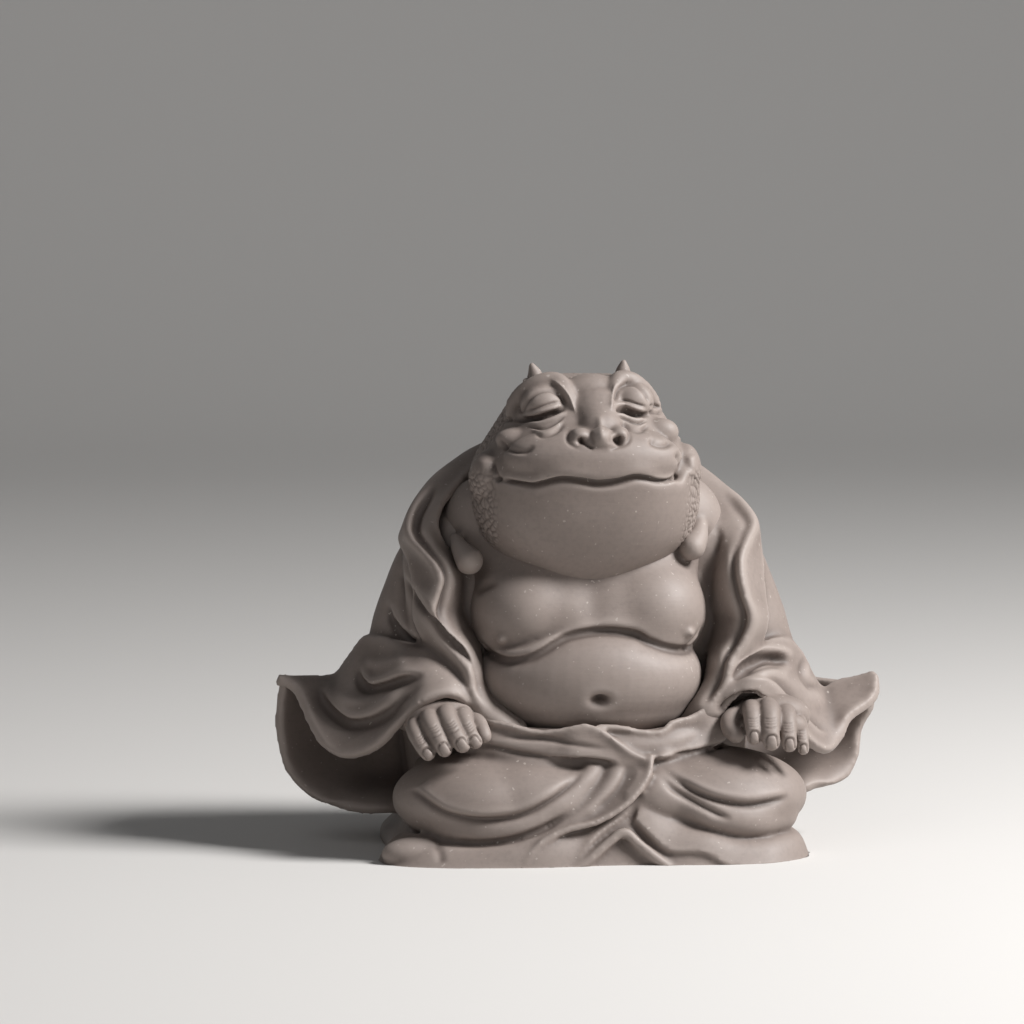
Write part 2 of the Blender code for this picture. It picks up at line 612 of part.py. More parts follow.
# each line of the face: path, width, height and kind
FACE_LINES = [
    (MOUTH, 2.0, 0.85, "lap"),
    (MOUTH, 0.6, -1.1, "groove"),
    # lid slits, the sockets above them and the folds below
    ([(-14.4, 86.9), (-11.8, 87.0), (-9.3, 87.1), (-6.4, 87.9), (-2.9, 89.0)], 0.65, -1.8, "groove"),
    ([(6.8, 89.2), (9.0, 88.7), (11.4, 87.9), (14.0, 87.8)], 0.65, -1.8, "groove"),
    (
        [
            (-12.2, 87.4), (-11.6, 89.6), (-9.6, 92.0), (-6.6, 92.9), (-4.2, 91.6), (-3.2, 89.4),
        ],
        0.6, -0.6, "groove",
    ),
    (
        [
            (6.9, 90.2), (7.3, 92.4), (8.7, 93.9), (10.8, 94.1), (13.0, 92.4), (14.1, 89.8),
        ],
        0.6, -0.6, "groove",
    ),
    ([(-12.4, 86.1), (-9.2, 85.6), (-6.6, 86.3), (-4.4, 87.3), (-2.6, 88.3)], 0.6, 0.5, "groove"),
    ([(7.0, 88.1), (9.2, 86.9), (11.4, 86.4), (13.8, 87.1)], 0.6, 0.5, "groove"),
    ([(-10.8, 84.3), (-8.0, 83.3), (-5.4, 84.2), (-3.2, 86.1)], 0.6, -0.5, "groove"),
    ([(7.5, 86.4), (9.6, 84.9), (11.9, 84.5), (13.8, 85.8)], 0.6, -0.5, "groove"),
    # cheeks and the corners of the mouth
    (
        [
            (-16.8, 84.6), (-16.0, 82.8), (-14.4, 81.5), (-12.0, 81.0), (-9.8, 81.6), (-8.6, 82.8),
        ],
        0.7, -0.8, "groove",
    ),
    ([(13.6, 83.2), (14.8, 82.0), (17.0, 81.7), (19.0, 82.8)], 0.7, -0.8, "groove"),
    ([(-18.0, 79.0), (-17.6, 77.0), (-17.0, 75.4), (-16.4, 74.0), (-15.6, 72.4)], 1.0, -1.1, "groove"),
    ([(19.0, 81.0), (20.2, 79.4), (20.6, 77.6), (20.0, 75.8), (19.0, 74.0)], 1.0, -1.1, "groove"),
]


def legs():
    """Two knees folded under cloth, the lapped skirt over them and a sash under the belly."""
    lumps = ball((-12.0, -22.0, 11.8), (18.0, 14.0, 9.2), (0, 5, 0))
    for centre, radii in (
        ((0, -8, 10.5), (36, 26, 10.5)),
        ((0, 4, 14), (35, 32, 13)),
        ((-22.0, -19.0, 11.8), (18.8, 17.0, 9.6)),
        ((25.0, -19.0, 12.0), (19.6, 17.0, 9.8)),
        ((14.0, -20.0, 12.2), (15.0, 14.5, 9.0)),
        ((8.0, -20.0, 9.5), (17, 12.0, 9.5)),
    ):
        lumps += ball(centre, radii)
    lumps += rounded_stack(
        [
            (-1, BASE_HALF_WIDTH, -BASE_FRONT, BASE_BACK),
            (0.9, BASE_HALF_WIDTH, -BASE_FRONT, BASE_BACK),
            (2.4, BASE_HALF_WIDTH - 0.8, 1.0 - BASE_FRONT, BASE_BACK - 1.0),
            (4.2, BASE_HALF_WIDTH - 2.8, 2.6 - BASE_FRONT, BASE_BACK - 2.6),
            (7.5, BASE_HALF_WIDTH - 5.0, 4.4 - BASE_FRONT, BASE_BACK - 3.6),
            (14, BASE_HALF_WIDTH - 8.0, 7.8 - BASE_FRONT, BASE_BACK - 5.6),
        ],
        power=3.6,
    )
    rolls = [
        (
            [
                (-33.5, 6.4, -23.5), (-25.0, 4.4, -29.6), (-14.0, 5.0, -32.4), (-5.5, 8.6, -32.2),
                (0.8, 13.6, -30.4), (4.4, 17.4, -28.4),
            ],
            [2.6, 3.5, 3.8, 3.4, 2.5, 1.4],
        ),
        (
            [
                (15.8, 13.6, -28.6), (20.4, 9.8, -31.4), (27.0, 7.0, -33.0), (34.5, 5.8, -31.4),
                (41.0, 6.4, -26.0),
            ],
            [1.5, 2.6, 3.6, 4.0, 3.4],
        ),
        (
            [
                (-27.0, 26.5, -16), (-20.5, 22.4, -22), (-10.0, 20.6, -25.0), (2.0, 20.4, -26.0),
                (12.0, 20.0, -26.0), (20.0, 21.6, -23.4), (27.0, 24.6, -17),
            ],
            [3.4, 3.8, 4.0, 4.0, 4.0, 3.6, 3.4],
        ),
        (
            [
                (-38.0, -0.2, -21.0), (-37.0, 1.4, -24.0), (-34.6, 2.0, -27.0), (-31.4, 1.2, -30.0),
                (-29.4, -1.4, -32.4),
            ],
            [1.6, 2.2, 2.4, 2.2, 1.6],
        ),
        ([(3.6, -2.6, -35.2), (8.3, 1.0, -34.4), (13.4, -2.6, -35.2)], [1.4, 1.5, 1.4]),
    ]
    for path, radii in rolls:
        lumps += rope(seen(path), radii, 60)
    lumps += ball(seen([(2.2, 20.4, -27.4)])[0], (8.6, 3.8, 3.2))
    sash_left = [
        [
            (-22.4, 31.6, -18.8), (-20.7, 28.4, -22.8), (-18.4, 26.1, -25.6), (-14.5, 25.2, -27.4),
            (-9.1, 23.8, -28.4), (-5.8, 24.0, -29.0), (-2.3, 24.8, -29.4), (1.2, 25.3, -29.6),
            (4.6, 23.8, -30.4), (7.5, 21.7, -30.8), (10.4, 19.6, -31.0), (14.2, 18.0, -30.6),
        ],
        [
            (-23.4, 27.0, -18.4), (-21.4, 24.6, -21.0), (-18.4, 23.0, -23.2), (-14.0, 22.0, -24.6),
            (-9.1, 21.4, -25.8), (-5.4, 21.8, -27.8), (-1.8, 22.4, -29.4), (1.6, 22.6, -29.8),
            (4.8, 21.6, -30.0), (7.5, 20.0, -30.2), (10.4, 18.4, -30.4), (14.2, 17.2, -30.0),
        ],
        [
            (-23.4, 20.6, -20.4), (-21.0, 19.8, -23.2), (-18.0, 19.2, -25.8), (-13.6, 18.6, -27.4),
            (-9.0, 18.2, -28.6), (-5.0, 18.0, -29.6), (-1.6, 18.0, -30.6), (1.8, 18.0, -30.8),
            (5.0, 17.6, -30.8), (7.6, 17.2, -30.6), (10.4, 16.8, -30.4), (14.2, 16.2, -29.8),
        ],
    ]
    sash_right = [
        [
            (3.0, 25.2, -29.0), (8.1, 24.7, -29.0), (12.0, 23.9, -28.6), (16.1, 24.0, -27.8),
            (18.4, 25.8, -26.4), (22.4, 26.9, -24.2), (25.3, 29.0, -21.4), (26.4, 32.0, -18.8),
        ],
        [
            (4.0, 22.6, -28.4), (8.6, 22.2, -27.0), (12.4, 21.4, -26.6), (16.8, 21.4, -27.8),
            (19.2, 22.4, -25.2), (23.0, 23.4, -23.4), (26.4, 25.0, -21.0), (28.0, 27.6, -18.2),
        ],
        [
            (6.0, 18.8, -29.4), (9.4, 18.6, -28.8), (12.8, 18.2, -29.0), (16.6, 18.2, -30.0),
            (19.6, 18.8, -28.0), (23.6, 19.4, -26.4), (27.6, 20.4, -24.0), (30.0, 22.0, -21.0),
        ],
    ]
    flap = [
        [
            (7.4, 18.0, -28.0), (4.8, 14.4, -31.0), (0.0, 8.6, -33.4), (-6.0, 4.2, -34.6),
            (-13.0, 0.6, -35.2),
        ],
        [
            (10.0, 18.0, -29.0), (8.2, 13.8, -32.0), (4.4, 8.9, -34.2), (-1.8, 5.0, -35.3),
            (-10.6, -0.2, -36.2),
        ],
        [
            (12.4, 18.0, -29.4), (11.0, 13.6, -32.0), (7.4, 8.8, -34.4), (1.4, 5.4, -35.6),
            (-9.8, -0.9, -36.8),
        ],
        [
            (14.9, 18.2, -29.8), (13.6, 13.6, -32.4), (9.6, 8.6, -35.0), (3.4, 5.2, -36.4),
            (-9.0, -1.4, -37.4),
        ],
    ]
    right_hem = [
        [
            (14.8, 13.6, -30.6), (17.6, 8.6, -33.4), (22.0, 5.2, -34.6), (28.0, 2.6, -35.0),
            (35.0, 1.2, -33.4), (41.4, 1.8, -28.0),
        ],
        [
            (13.6, 12.6, -31.8), (15.9, 6.7, -35.0), (20.5, 3.6, -36.2), (26.2, 0.9, -36.8),
            (30.2, -0.9, -37.2), (34.0, -2.4, -37.4),
        ],
    ]
    tent = [
        [
            (-5.0, 0.6, -34.8), (2.6, 3.6, -34.8), (8.2, 6.6, -33.8), (13.6, 4.2, -34.6),
            (20.0, 0.2, -35.4),
        ],
        [
            (-2.4, -2.6, -36.6), (3.8, 1.2, -36.8), (8.1, 4.6, -36.0), (12.6, 1.1, -36.8),
            (18.8, -2.6, -37.0),
        ],
    ]
    for rows in (sash_left, sash_right, flap, right_hem, tent):
        lumps += cloth(seen(rows), SASH_THICKNESS, (40, 150))
    return press("legs", lumps, CLAY_VOXEL).relax(3).lumps()


LEFT_FINGERS = [
    ([(-33.4, 25.2, -21.0), (-33.6, 23.8, -27.0), (-32.3, 21.0, -30.2), (-31.0, 19.3, -31.3)], 0.92),
    ([(-30.4, 27.0, -20.0), (-30.7, 25.7, -27.2), (-29.0, 22.4, -30.9), (-27.7, 20.2, -32.0)], 1.0),
    ([(-27.0, 27.8, -20.0), (-27.3, 26.5, -27.2), (-25.5, 23.2, -31.0), (-24.1, 21.1, -32.1)], 1.04),
    ([(-23.8, 27.4, -20.0), (-23.9, 26.2, -26.6), (-22.6, 23.4, -30.0), (-21.5, 21.7, -31.2)], 0.94),
    ([(-23.4, 26.4, -19.0), (-21.4, 25.6, -23.6), (-20.2, 24.0, -26.6), (-19.7, 22.8, -27.8)], 0.95),
]
RIGHT_FINGERS = [
    ([(34.6, 28.4, -20.0), (34.7, 27.4, -27.0), (34.8, 24.4, -30.4), (35.0, 22.4, -31.4)], 0.96),
    ([(38.0, 28.6, -20.0), (38.2, 27.4, -27.6), (38.3, 23.8, -31.2), (38.5, 21.4, -32.1)], 1.1),
    ([(41.2, 27.8, -20.0), (41.8, 26.4, -27.0), (42.0, 23.0, -30.4), (42.2, 20.9, -31.3)], 0.98),
    ([(43.8, 26.4, -20.0), (44.6, 24.8, -25.4), (44.9, 21.8, -28.6), (45.1, 19.9, -29.6)], 0.76),
    ([(34.0, 27.4, -19.0), (30.8, 25.8, -23.2), (30.4, 24.0, -26.2), (31.4, 22.8, -27.8)], 1.1),
]


def hand(fingers, palm, web):
    """A plump hand laid over the knee: palm, four bent fingers joined by a web, and a thumb."""
    back, wrist, between = seen([palm, (palm[0], palm[1] + 2.5, palm[2] + 9.0), web])
    lumps = ball(back, (8.4, 6.6, 4.6), (-18, 0, 0)) + rope([wrist, back], [5.4, 5.0])
    lumps += ball(between, (6.2, 3.4, 3.2))
    for path, size in fingers:
        r = FINGER_RADIUS * size
        lumps += rope(seen(path), [r * 1.1, r * 1.1, r, r * 0.86])
    return press("hand", lumps, 0.4).relax(2).lumps()


# the breasts' lower edge, and the upper crease over each knee
UNDERLINE = [
    (-23.0, 44.5), (-21.1, 41.6), (-18.0, 39.2), (-14.5, 38.3), (-11.0, 38.8), (-8.3, 40.0),
    (-5.0, 42.0), (-2.1, 43.3), (4.1, 44.3), (10.4, 43.7), (13.5, 42.2), (16.6, 41.0), (19.4, 40.4),
    (21.7, 40.6), (24.0, 43.0), (25.2, 46.5),
]
LEFT_CREASE = [
    (-34.0, 12.6), (-32.9, 11.4), (-27.1, 7.5), (-18.6, 6.4), (-10.1, 8.3), (-2.7, 13.2), (1.7, 17.4),
]
RIGHT_CREASE = [(15.3, 17.4), (21.1, 13.2), (26.7, 10.6), (33.5, 9.3), (39.7, 10.1), (42.6, 11.4)]
# finer lines: path, width, height and kind
BODY_LINES = [
    (UNDERLINE, 2.6, 0.7, "lap"),
    ([(u, v - 0.3) for u, v in UNDERLINE], 0.9, -0.8, "groove"),
    ([(-22.0, 51.0), (-20.6, 52.2), (-19.0, 53.1), (-16.6, 53.4)], 0.7, -0.9, "groove"),
    (LEFT_CREASE, 2.4, 0.5, "lap"),
    ([(u, v - 0.3) for u, v in LEFT_CREASE], 0.9, -1.0, "groove"),
    (RIGHT_CREASE, 2.4, 0.5, "lap"),
    ([(u, v - 0.3) for u, v in RIGHT_CREASE], 0.9, -1.0, "groove"),
    ([(15.3, 15.2), (19.9, 11.2), (26.7, 7.4), (31.0, 5.8)], 0.9, -0.9, "groove"),
    ([(9.6, 17.2), (8.6, 13.8), (6.0, 10.4), (1.6, 7.2)], 1.0, -0.6, "groove"),
    ([(-23.0, 20.2), (-19.3, 20.7), (-12.4, 19.2), (-5.0, 18.2), (8.0, 17.2)], 0.8, -0.7, "groove"),
    ([(18.0, 18.6), (24.0, 19.6), (30.0, 20.8)], 0.8, -0.7, "groove"),
]
# round dents and bumps as (across, up, depth), reach across, up and height: forehead, corners of the
# mouth, nostrils, nipples and navel
DENTS = [
    ((2.4, 93.2, -15.0), 3.0, 3.0, -1.0),
    ((-16.6, 74.6, -21.5), 1.3, 1.3, -1.9),
    ((19.5, 75.8, -20.5), 1.3, 1.4, -1.9),
    ((-0.1, 82.5, -28.0), 0.9, 0.8, -1.7),
    ((7.5, 82.7, -27.0), 1.0, 1.0, -1.9),
    ((-16.1, 42.2, -22.0), 0.9, 0.9, 1.0),
    ((21.9, 43.7, -20.0), 0.9, 0.9, 1.0),
    ((3.9, 29.8, BELLY_CENTRE[1] - 16.5), 1.7, 1.3, -2.2),
]


def figure():
    """All the parts pressed into one skin, with the fine lines drawn last."""
    lumps = robe() + torso() + head() + legs()
    lumps += hand(LEFT_FINGERS, (-28.4, 26.0, -19.5), (-27.6, 24.2, -27.0))
    lumps += hand(RIGHT_FINGERS, (38.6, 26.4, -19.5), (39.6, 24.6, -27.0))
    skin = press("toad_figure", lumps, CLAY_VOXEL * 0.85).relax(2)
    for place, across, up, height in DENTS:
        skin.dent(seen([place])[0], (across, 4, up), height)
    for path, width, height, kind in FACE_LINES + BODY_LINES:
        skin.draw(path, width, height, kind, fade=0.15)
    return skin


def clear_scene():
    for thing in list(bpy.data.objects):
        bpy.data.objects.remove(thing)


def clay_material():
    material = bpy.data.materials.new("clay")
    material.use_nodes = True
    shader = material.node_tree.nodes["Principled BSDF"]
    shader.inputs["Base Color"].default_value = CLAY_COLOUR
    shader.inputs["Roughness"].default_value = CLAY_ROUGHNESS
    shader.inputs["Metallic"].default_value = 0.0
    return material


def finished(skin):
    """Thins the mesh to its triangle budget, cuts the foot flat and brings it to metres."""
    skin.write()
    thing = in_scene(skin.mesh)
    # face and hands keep smaller triangles than the cloth
    fine = np.zeros(len(skin.points))
    for centre, reach, most in (
        ((1, -26, 84), 21, 1.0), ((3.5, -30, 31), 5, 0.8), ((-29, -30, 23), 11, 0.5), ((36, -30, 25), 11, 0.5)
    ):
        r = np.linalg.norm(skin.points - centre, axis=1) / reach
        fine = np.maximum(fine, np.clip(1.6 - r, 0, 1) * most)
    coarse = thing.vertex_groups.new(name="coarse")
    for step in range(11):
        coarse.add(np.flatnonzero(np.round(fine * 10) == step).tolist(), 1 - 0.09 * step, "REPLACE")
    thin = thing.modifiers.new("thin", "DECIMATE")
    thin.vertex_group = "coarse"
    thin.vertex_group_factor = FACE_FAVOUR
    thin.ratio = min(1.0, TRIANGLES / (2 * len(skin.mesh.polygons)))
    mesh = evaluated_copy(thing, "toad_figure")
    made = bmesh.new()
    made.from_mesh(mesh)
    everything = made.verts[:] + made.edges[:] + made.faces[:]
    cut = bmesh.ops.bisect_plane(
        made, geom=everything, plane_co=(0, 0, 0), plane_no=(0, 0, 1), clear_inner=True
    )
    rim = [e for e in cut["geom_cut"] if isinstance(e, bmesh.types.BMEdge)]
    bmesh.ops.holes_fill(made, edges=rim)
    bmesh.ops.triangulate(made, faces=made.faces)
    bmesh.ops.translate(made, vec=Vector(CENTRING), verts=made.verts)
    bmesh.ops.scale(made, vec=Vector((MM, MM, MM)), verts=made.verts)
    made.to_mesh(mesh)
    made.free()
    mesh.shade_smooth()
    mesh.set_sharp_from_angle(angle=math.radians(60))
    return mesh


clear_scene()
toad = bpy.data.objects.new("toad_figure", finished(figure()))
toad.data.materials.append(clay_material())
parts = bpy.data.collections.new("toad_tea_pet")
bpy.context.scene.collection.children.link(parts)
parts.objects.link(toad)
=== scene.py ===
"""A clay toad in a monk's robe, seated cross-legged, on a pale studio floor.

The figure is one fired clay casting. It is worked here as the modeller worked it: head, body, robe, legs and
hands are each pressed together from smooth lumps, drawn into with folds and wrinkles, and set into each other.
Millimetres are used while the clay is shaped; each finished mesh is brought to metres. Left and right in names are
as the camera sees them.
"""

import math

import bpy
import numpy as np
from mathutils import Euler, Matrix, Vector
from mathutils.kdtree import KDTree


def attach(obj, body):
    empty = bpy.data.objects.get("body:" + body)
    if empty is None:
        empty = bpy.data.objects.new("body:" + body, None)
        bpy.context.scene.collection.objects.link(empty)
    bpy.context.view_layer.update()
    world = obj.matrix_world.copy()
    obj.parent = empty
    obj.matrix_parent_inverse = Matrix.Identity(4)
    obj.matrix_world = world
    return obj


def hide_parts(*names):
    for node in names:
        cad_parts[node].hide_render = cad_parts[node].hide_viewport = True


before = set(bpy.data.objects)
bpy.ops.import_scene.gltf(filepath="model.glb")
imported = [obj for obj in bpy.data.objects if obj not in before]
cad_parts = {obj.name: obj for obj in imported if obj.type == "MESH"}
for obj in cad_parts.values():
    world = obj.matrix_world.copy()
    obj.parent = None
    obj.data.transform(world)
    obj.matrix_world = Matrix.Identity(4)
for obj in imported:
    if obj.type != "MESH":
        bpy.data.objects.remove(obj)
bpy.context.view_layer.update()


# The camera: level with the figure's chest, a little to its right and a little above.

SEEN_TURN = math.radians(-6)
SEEN_RISE = math.radians(5)
SEEN_ACROSS = np.array([math.cos(SEEN_TURN), math.sin(SEEN_TURN), 0])
SEEN_UP = np.array(
    [
        -math.sin(SEEN_RISE) * math.sin(SEEN_TURN),
        math.sin(SEEN_RISE) * math.cos(SEEN_TURN),
        math.cos(SEEN_RISE),
    ]
)
SEEN_BACK = np.cross(SEEN_ACROSS, SEEN_UP)
CAMERA_DISTANCE = 1.4
VIEW_WIDTH = 0.212
VIEW_CENTRE = (-0.0141, 0.0681)
scene = bpy.context.scene


def placed(name, data):
    """A new object in the scene that holds the mesh, lamp or camera."""
    thing = bpy.data.objects.new(name, data)
    scene.collection.objects.link(thing)
    return thing


camera = placed("camera", bpy.data.cameras.new("camera"))
aim = Vector(SEEN_ACROSS * VIEW_CENTRE[0] + SEEN_UP * VIEW_CENTRE[1])
camera.location = aim + Vector(SEEN_BACK) * CAMERA_DISTANCE
camera.rotation_mode = "QUATERNION"
camera.rotation_quaternion = (-Vector(SEEN_BACK)).to_track_quat("-Z", "Y")
camera.data.lens = camera.data.sensor_width * CAMERA_DISTANCE / VIEW_WIDTH
camera.data.clip_start = 0.05
camera.data.clip_end = 30
scene.camera = camera


# The robe: thick cloth in a bell over back and shoulders, open in front, its edge rolled into a wavy collar.
# Wide sleeves hang from the forearms, each a front layer over a back layer. It is modelled on the body.
# It is made as every other part is: lumps, ropes and sheets of clay pressed together, smoothed and drawn into.

ROBE_GRAIN = 0.5
ROBE_TRIANGLES = 190000
COLLAR_THICKNESS = 2.2
SLEEVE_THICKNESS = 2.3
MM = 0.001
# from the clay's own middle to the middle of its foot
CENTRING = np.array([0.0, 0.2, 0.0])
COARSE = 1


def seen(points):
    """Places given as (across, up, depth): the first two as the camera sees them, depth the true Y."""
    across, up, depth = np.moveaxis(np.asarray(points, float), -1, 0)
    x = (across - SEEN_ACROSS[1] * depth) / SEEN_ACROSS[0]
    z = (up - SEEN_UP[0] * x - SEEN_UP[1] * depth) / SEEN_UP[2]
    return np.stack([x, depth, z], axis=-1)


def smooth_through(points, samples):
    """Catmull-Rom: between two points, the cubic whose end slopes are those of the chords across them."""
    points = np.asarray(points, float)
    t = np.linspace(0, len(points) - 1, samples)
    index = np.minimum(np.floor(t).astype(int), len(points) - 2)
    padded = np.concatenate([[2 * points[0] - points[1]], points, [2 * points[-1] - points[-2]]])
    a, b, c, d = (padded[index + k] for k in range(4))
    f = (t - index).reshape((-1,) + (1,) * (points.ndim - 1))
    return 0.5 * (2 * b + (c - a) * f + (2 * a - 5 * b + 4 * c - d) * f**2 + (3 * b - a - 3 * c + d) * f**3)


def shell(grid):
    """A closed skin over a grid of points (ring, place round the ring, xyz), with a fan at each end."""
    rings, around = grid.shape[:2]
    points = np.concatenate([grid.reshape(-1, 3), [grid[0].mean(axis=0), grid[-1].mean(axis=0)]])
    row, column = np.meshgrid(np.arange(rings - 1), np.arange(around), indexing="ij")
    beside = (column + 1) % around
    quads = [row * around + column, row * around + beside, (row + 1) * around + beside, (row + 1) * around + column]
    quads = np.stack(quads, axis=-1).reshape(-1, 4)
    place = np.arange(around)
    after = (place + 1) % around
    first = np.stack([np.full(around, len(points) - 2), after, place], axis=1)
    last = np.stack([np.full(around, len(points) - 1), place, after], axis=1)
    last[:, 1:] += (rings - 1) * around
    return points, quads.tolist() + first.tolist() + last.tolist()


def ball(centre, radii, turn=(0, 0, 0)):
    """An egg: the unit sphere by latitude and longitude, times three radii, turned by degrees and placed."""
    latitude = np.linspace(-math.pi / 2, math.pi / 2, 26)[1:-1]
    longitude = np.linspace(0, 2 * math.pi, 44, endpoint=False)
    latitude, longitude = np.meshgrid(latitude, longitude, indexing="ij")
    level = np.cos(latitude)
    unit = np.stack([level * np.cos(longitude), level * np.sin(longitude), np.sin(latitude)], axis=-1)
    turned = np.array(Euler([math.radians(a) for a in turn]).to_matrix())
    return [shell(unit * radii @ turned.T + centre)]


def rope(path, radii, samples=40):
    """A profile carried along a path: circles across a smooth curve, closed by a half ball at each end."""
    middle = smooth_through(path, samples)
    radius = smooth_through(np.asarray(radii, float)[:, None], samples)[:, 0]
    along = np.gradient(middle, axis=0)
    along /= np.linalg.norm(along, axis=1)[:, None]
    side = np.cross(along, (0.03, 0.08, 1.0))
    side /= np.linalg.norm(side, axis=1)[:, None]
    over = np.cross(side, along)
    cap = np.radians((86, 66, 44, 22))
    middle = np.concatenate(
        [
            middle[0] - along[0] * radius[0] * np.sin(cap)[:, None],
            middle,
            middle[-1] + along[-1] * radius[-1] * np.sin(cap[::-1])[:, None],
        ]
    )
    radius = np.concatenate([radius[0] * np.cos(cap), radius, radius[-1] * np.cos(cap[::-1])])
    side = np.concatenate([side[:1].repeat(4, 0), side, side[-1:].repeat(4, 0)])
    over = np.concatenate([over[:1].repeat(4, 0), over, over[-1:].repeat(4, 0)])
    angle = np.linspace(0, 2 * math.pi, 22, endpoint=False)[None, :, None]
    ring = side[:, None] * np.cos(angle) + over[:, None] * np.sin(angle)
    return [shell(middle[:, None] + radius[:, None, None] * ring)]


def rounded_stack(levels, power, around=110, samples=90):
    """Level rings of the superellipse |x/a|^p + |y/b|^p = 1. A level is (height, half width, front y, back y)."""
    z, half, front, back = smooth_through(levels, samples).T
    angle = np.linspace(0, 2 * math.pi, around, endpoint=False)
    c, s = np.cos(angle), np.sin(angle)
    x = half[:, None] * np.sign(c) * np.abs(c) ** (2 / power)
    y = (front + back)[:, None] / 2 + (back - front)[:, None] / 2 * np.sign(s) * np.abs(s) ** (2 / power)
    return [shell(np.stack([x, y, np.broadcast_to(z[:, None], x.shape)], axis=-1))]


def cloth(rows, thickness, fine):
    """A sheet: a smooth surface of two parameters through rows of points, set off half a thickness each way."""
    middle = smooth_through(smooth_through(rows, fine[0]).swapaxes(0, 1), fine[1]).swapaxes(0, 1)
    normal = np.cross(np.gradient(middle, axis=0), np.gradient(middle, axis=1))
    normal /= np.linalg.norm(normal, axis=2)[..., None] + 1e-9
    off = normal * thickness / 2
    ring = np.concatenate([middle + off, (middle - off)[:, ::-1]], axis=1)
    rings, around = ring.shape[:2]
    row, column = np.meshgrid(np.arange(rings - 1), np.arange(around), indexing="ij")
    beside = (column + 1) % around
    quads = [row * around + column, row * around + beside, (row + 1) * around + beside, (row + 1) * around + column]
    place = np.arange(around // 2 - 1)
    first = np.stack([place + 1, place, around - 1 - place, around - 2 - place], axis=1)
    last = first[:, ::-1] + (rings - 1) * around
    faces = np.concatenate([np.stack(quads, axis=-1).reshape(-1, 4), first, last])
    return [(ring.reshape(-1, 3), faces.tolist())]


def object_of(name, lumps):
    """One object that holds every lump, each still closed by itself, with its faces outwards."""
    mesh = bpy.data.meshes.new(name)
    points, faces, start = [], [], 0
    for lump, corners in lumps:
        a, b, c = (lump[[face[k] for face in corners]] for k in range(3))
        # the sum of signed volumes under the faces tells whether the lump is inside out
        inward = np.einsum("ij,ij->i", a - lump.mean(axis=0), np.cross(b - a, c - a)).sum() < 0
        points.append(lump)
        faces += [[start + k for k in (face[::-1] if inward else face)] for face in corners]
        start += len(lump)
    mesh.from_pydata(np.concatenate(points), [], faces)
    return placed(name, mesh)


def taken_from(thing, name):
    """The object's mesh with its modifiers applied; the object itself is removed."""
    graph = bpy.context.evaluated_depsgraph_get()
    mesh = bpy.data.meshes.new_from_object(thing.evaluated_get(graph))
    mesh.name = name
    bpy.data.objects.remove(thing)
    return mesh


def press(name, lumps, grain):
    """Fuses lumps into one skin of even squares, a grain wide."""
    thing = object_of(name, lumps)
    fuse = thing.modifiers.new("fuse", "REMESH")
    fuse.mode = "VOXEL"
    fuse.voxel_size = grain * COARSE
    return Skin(taken_from(thing, name))


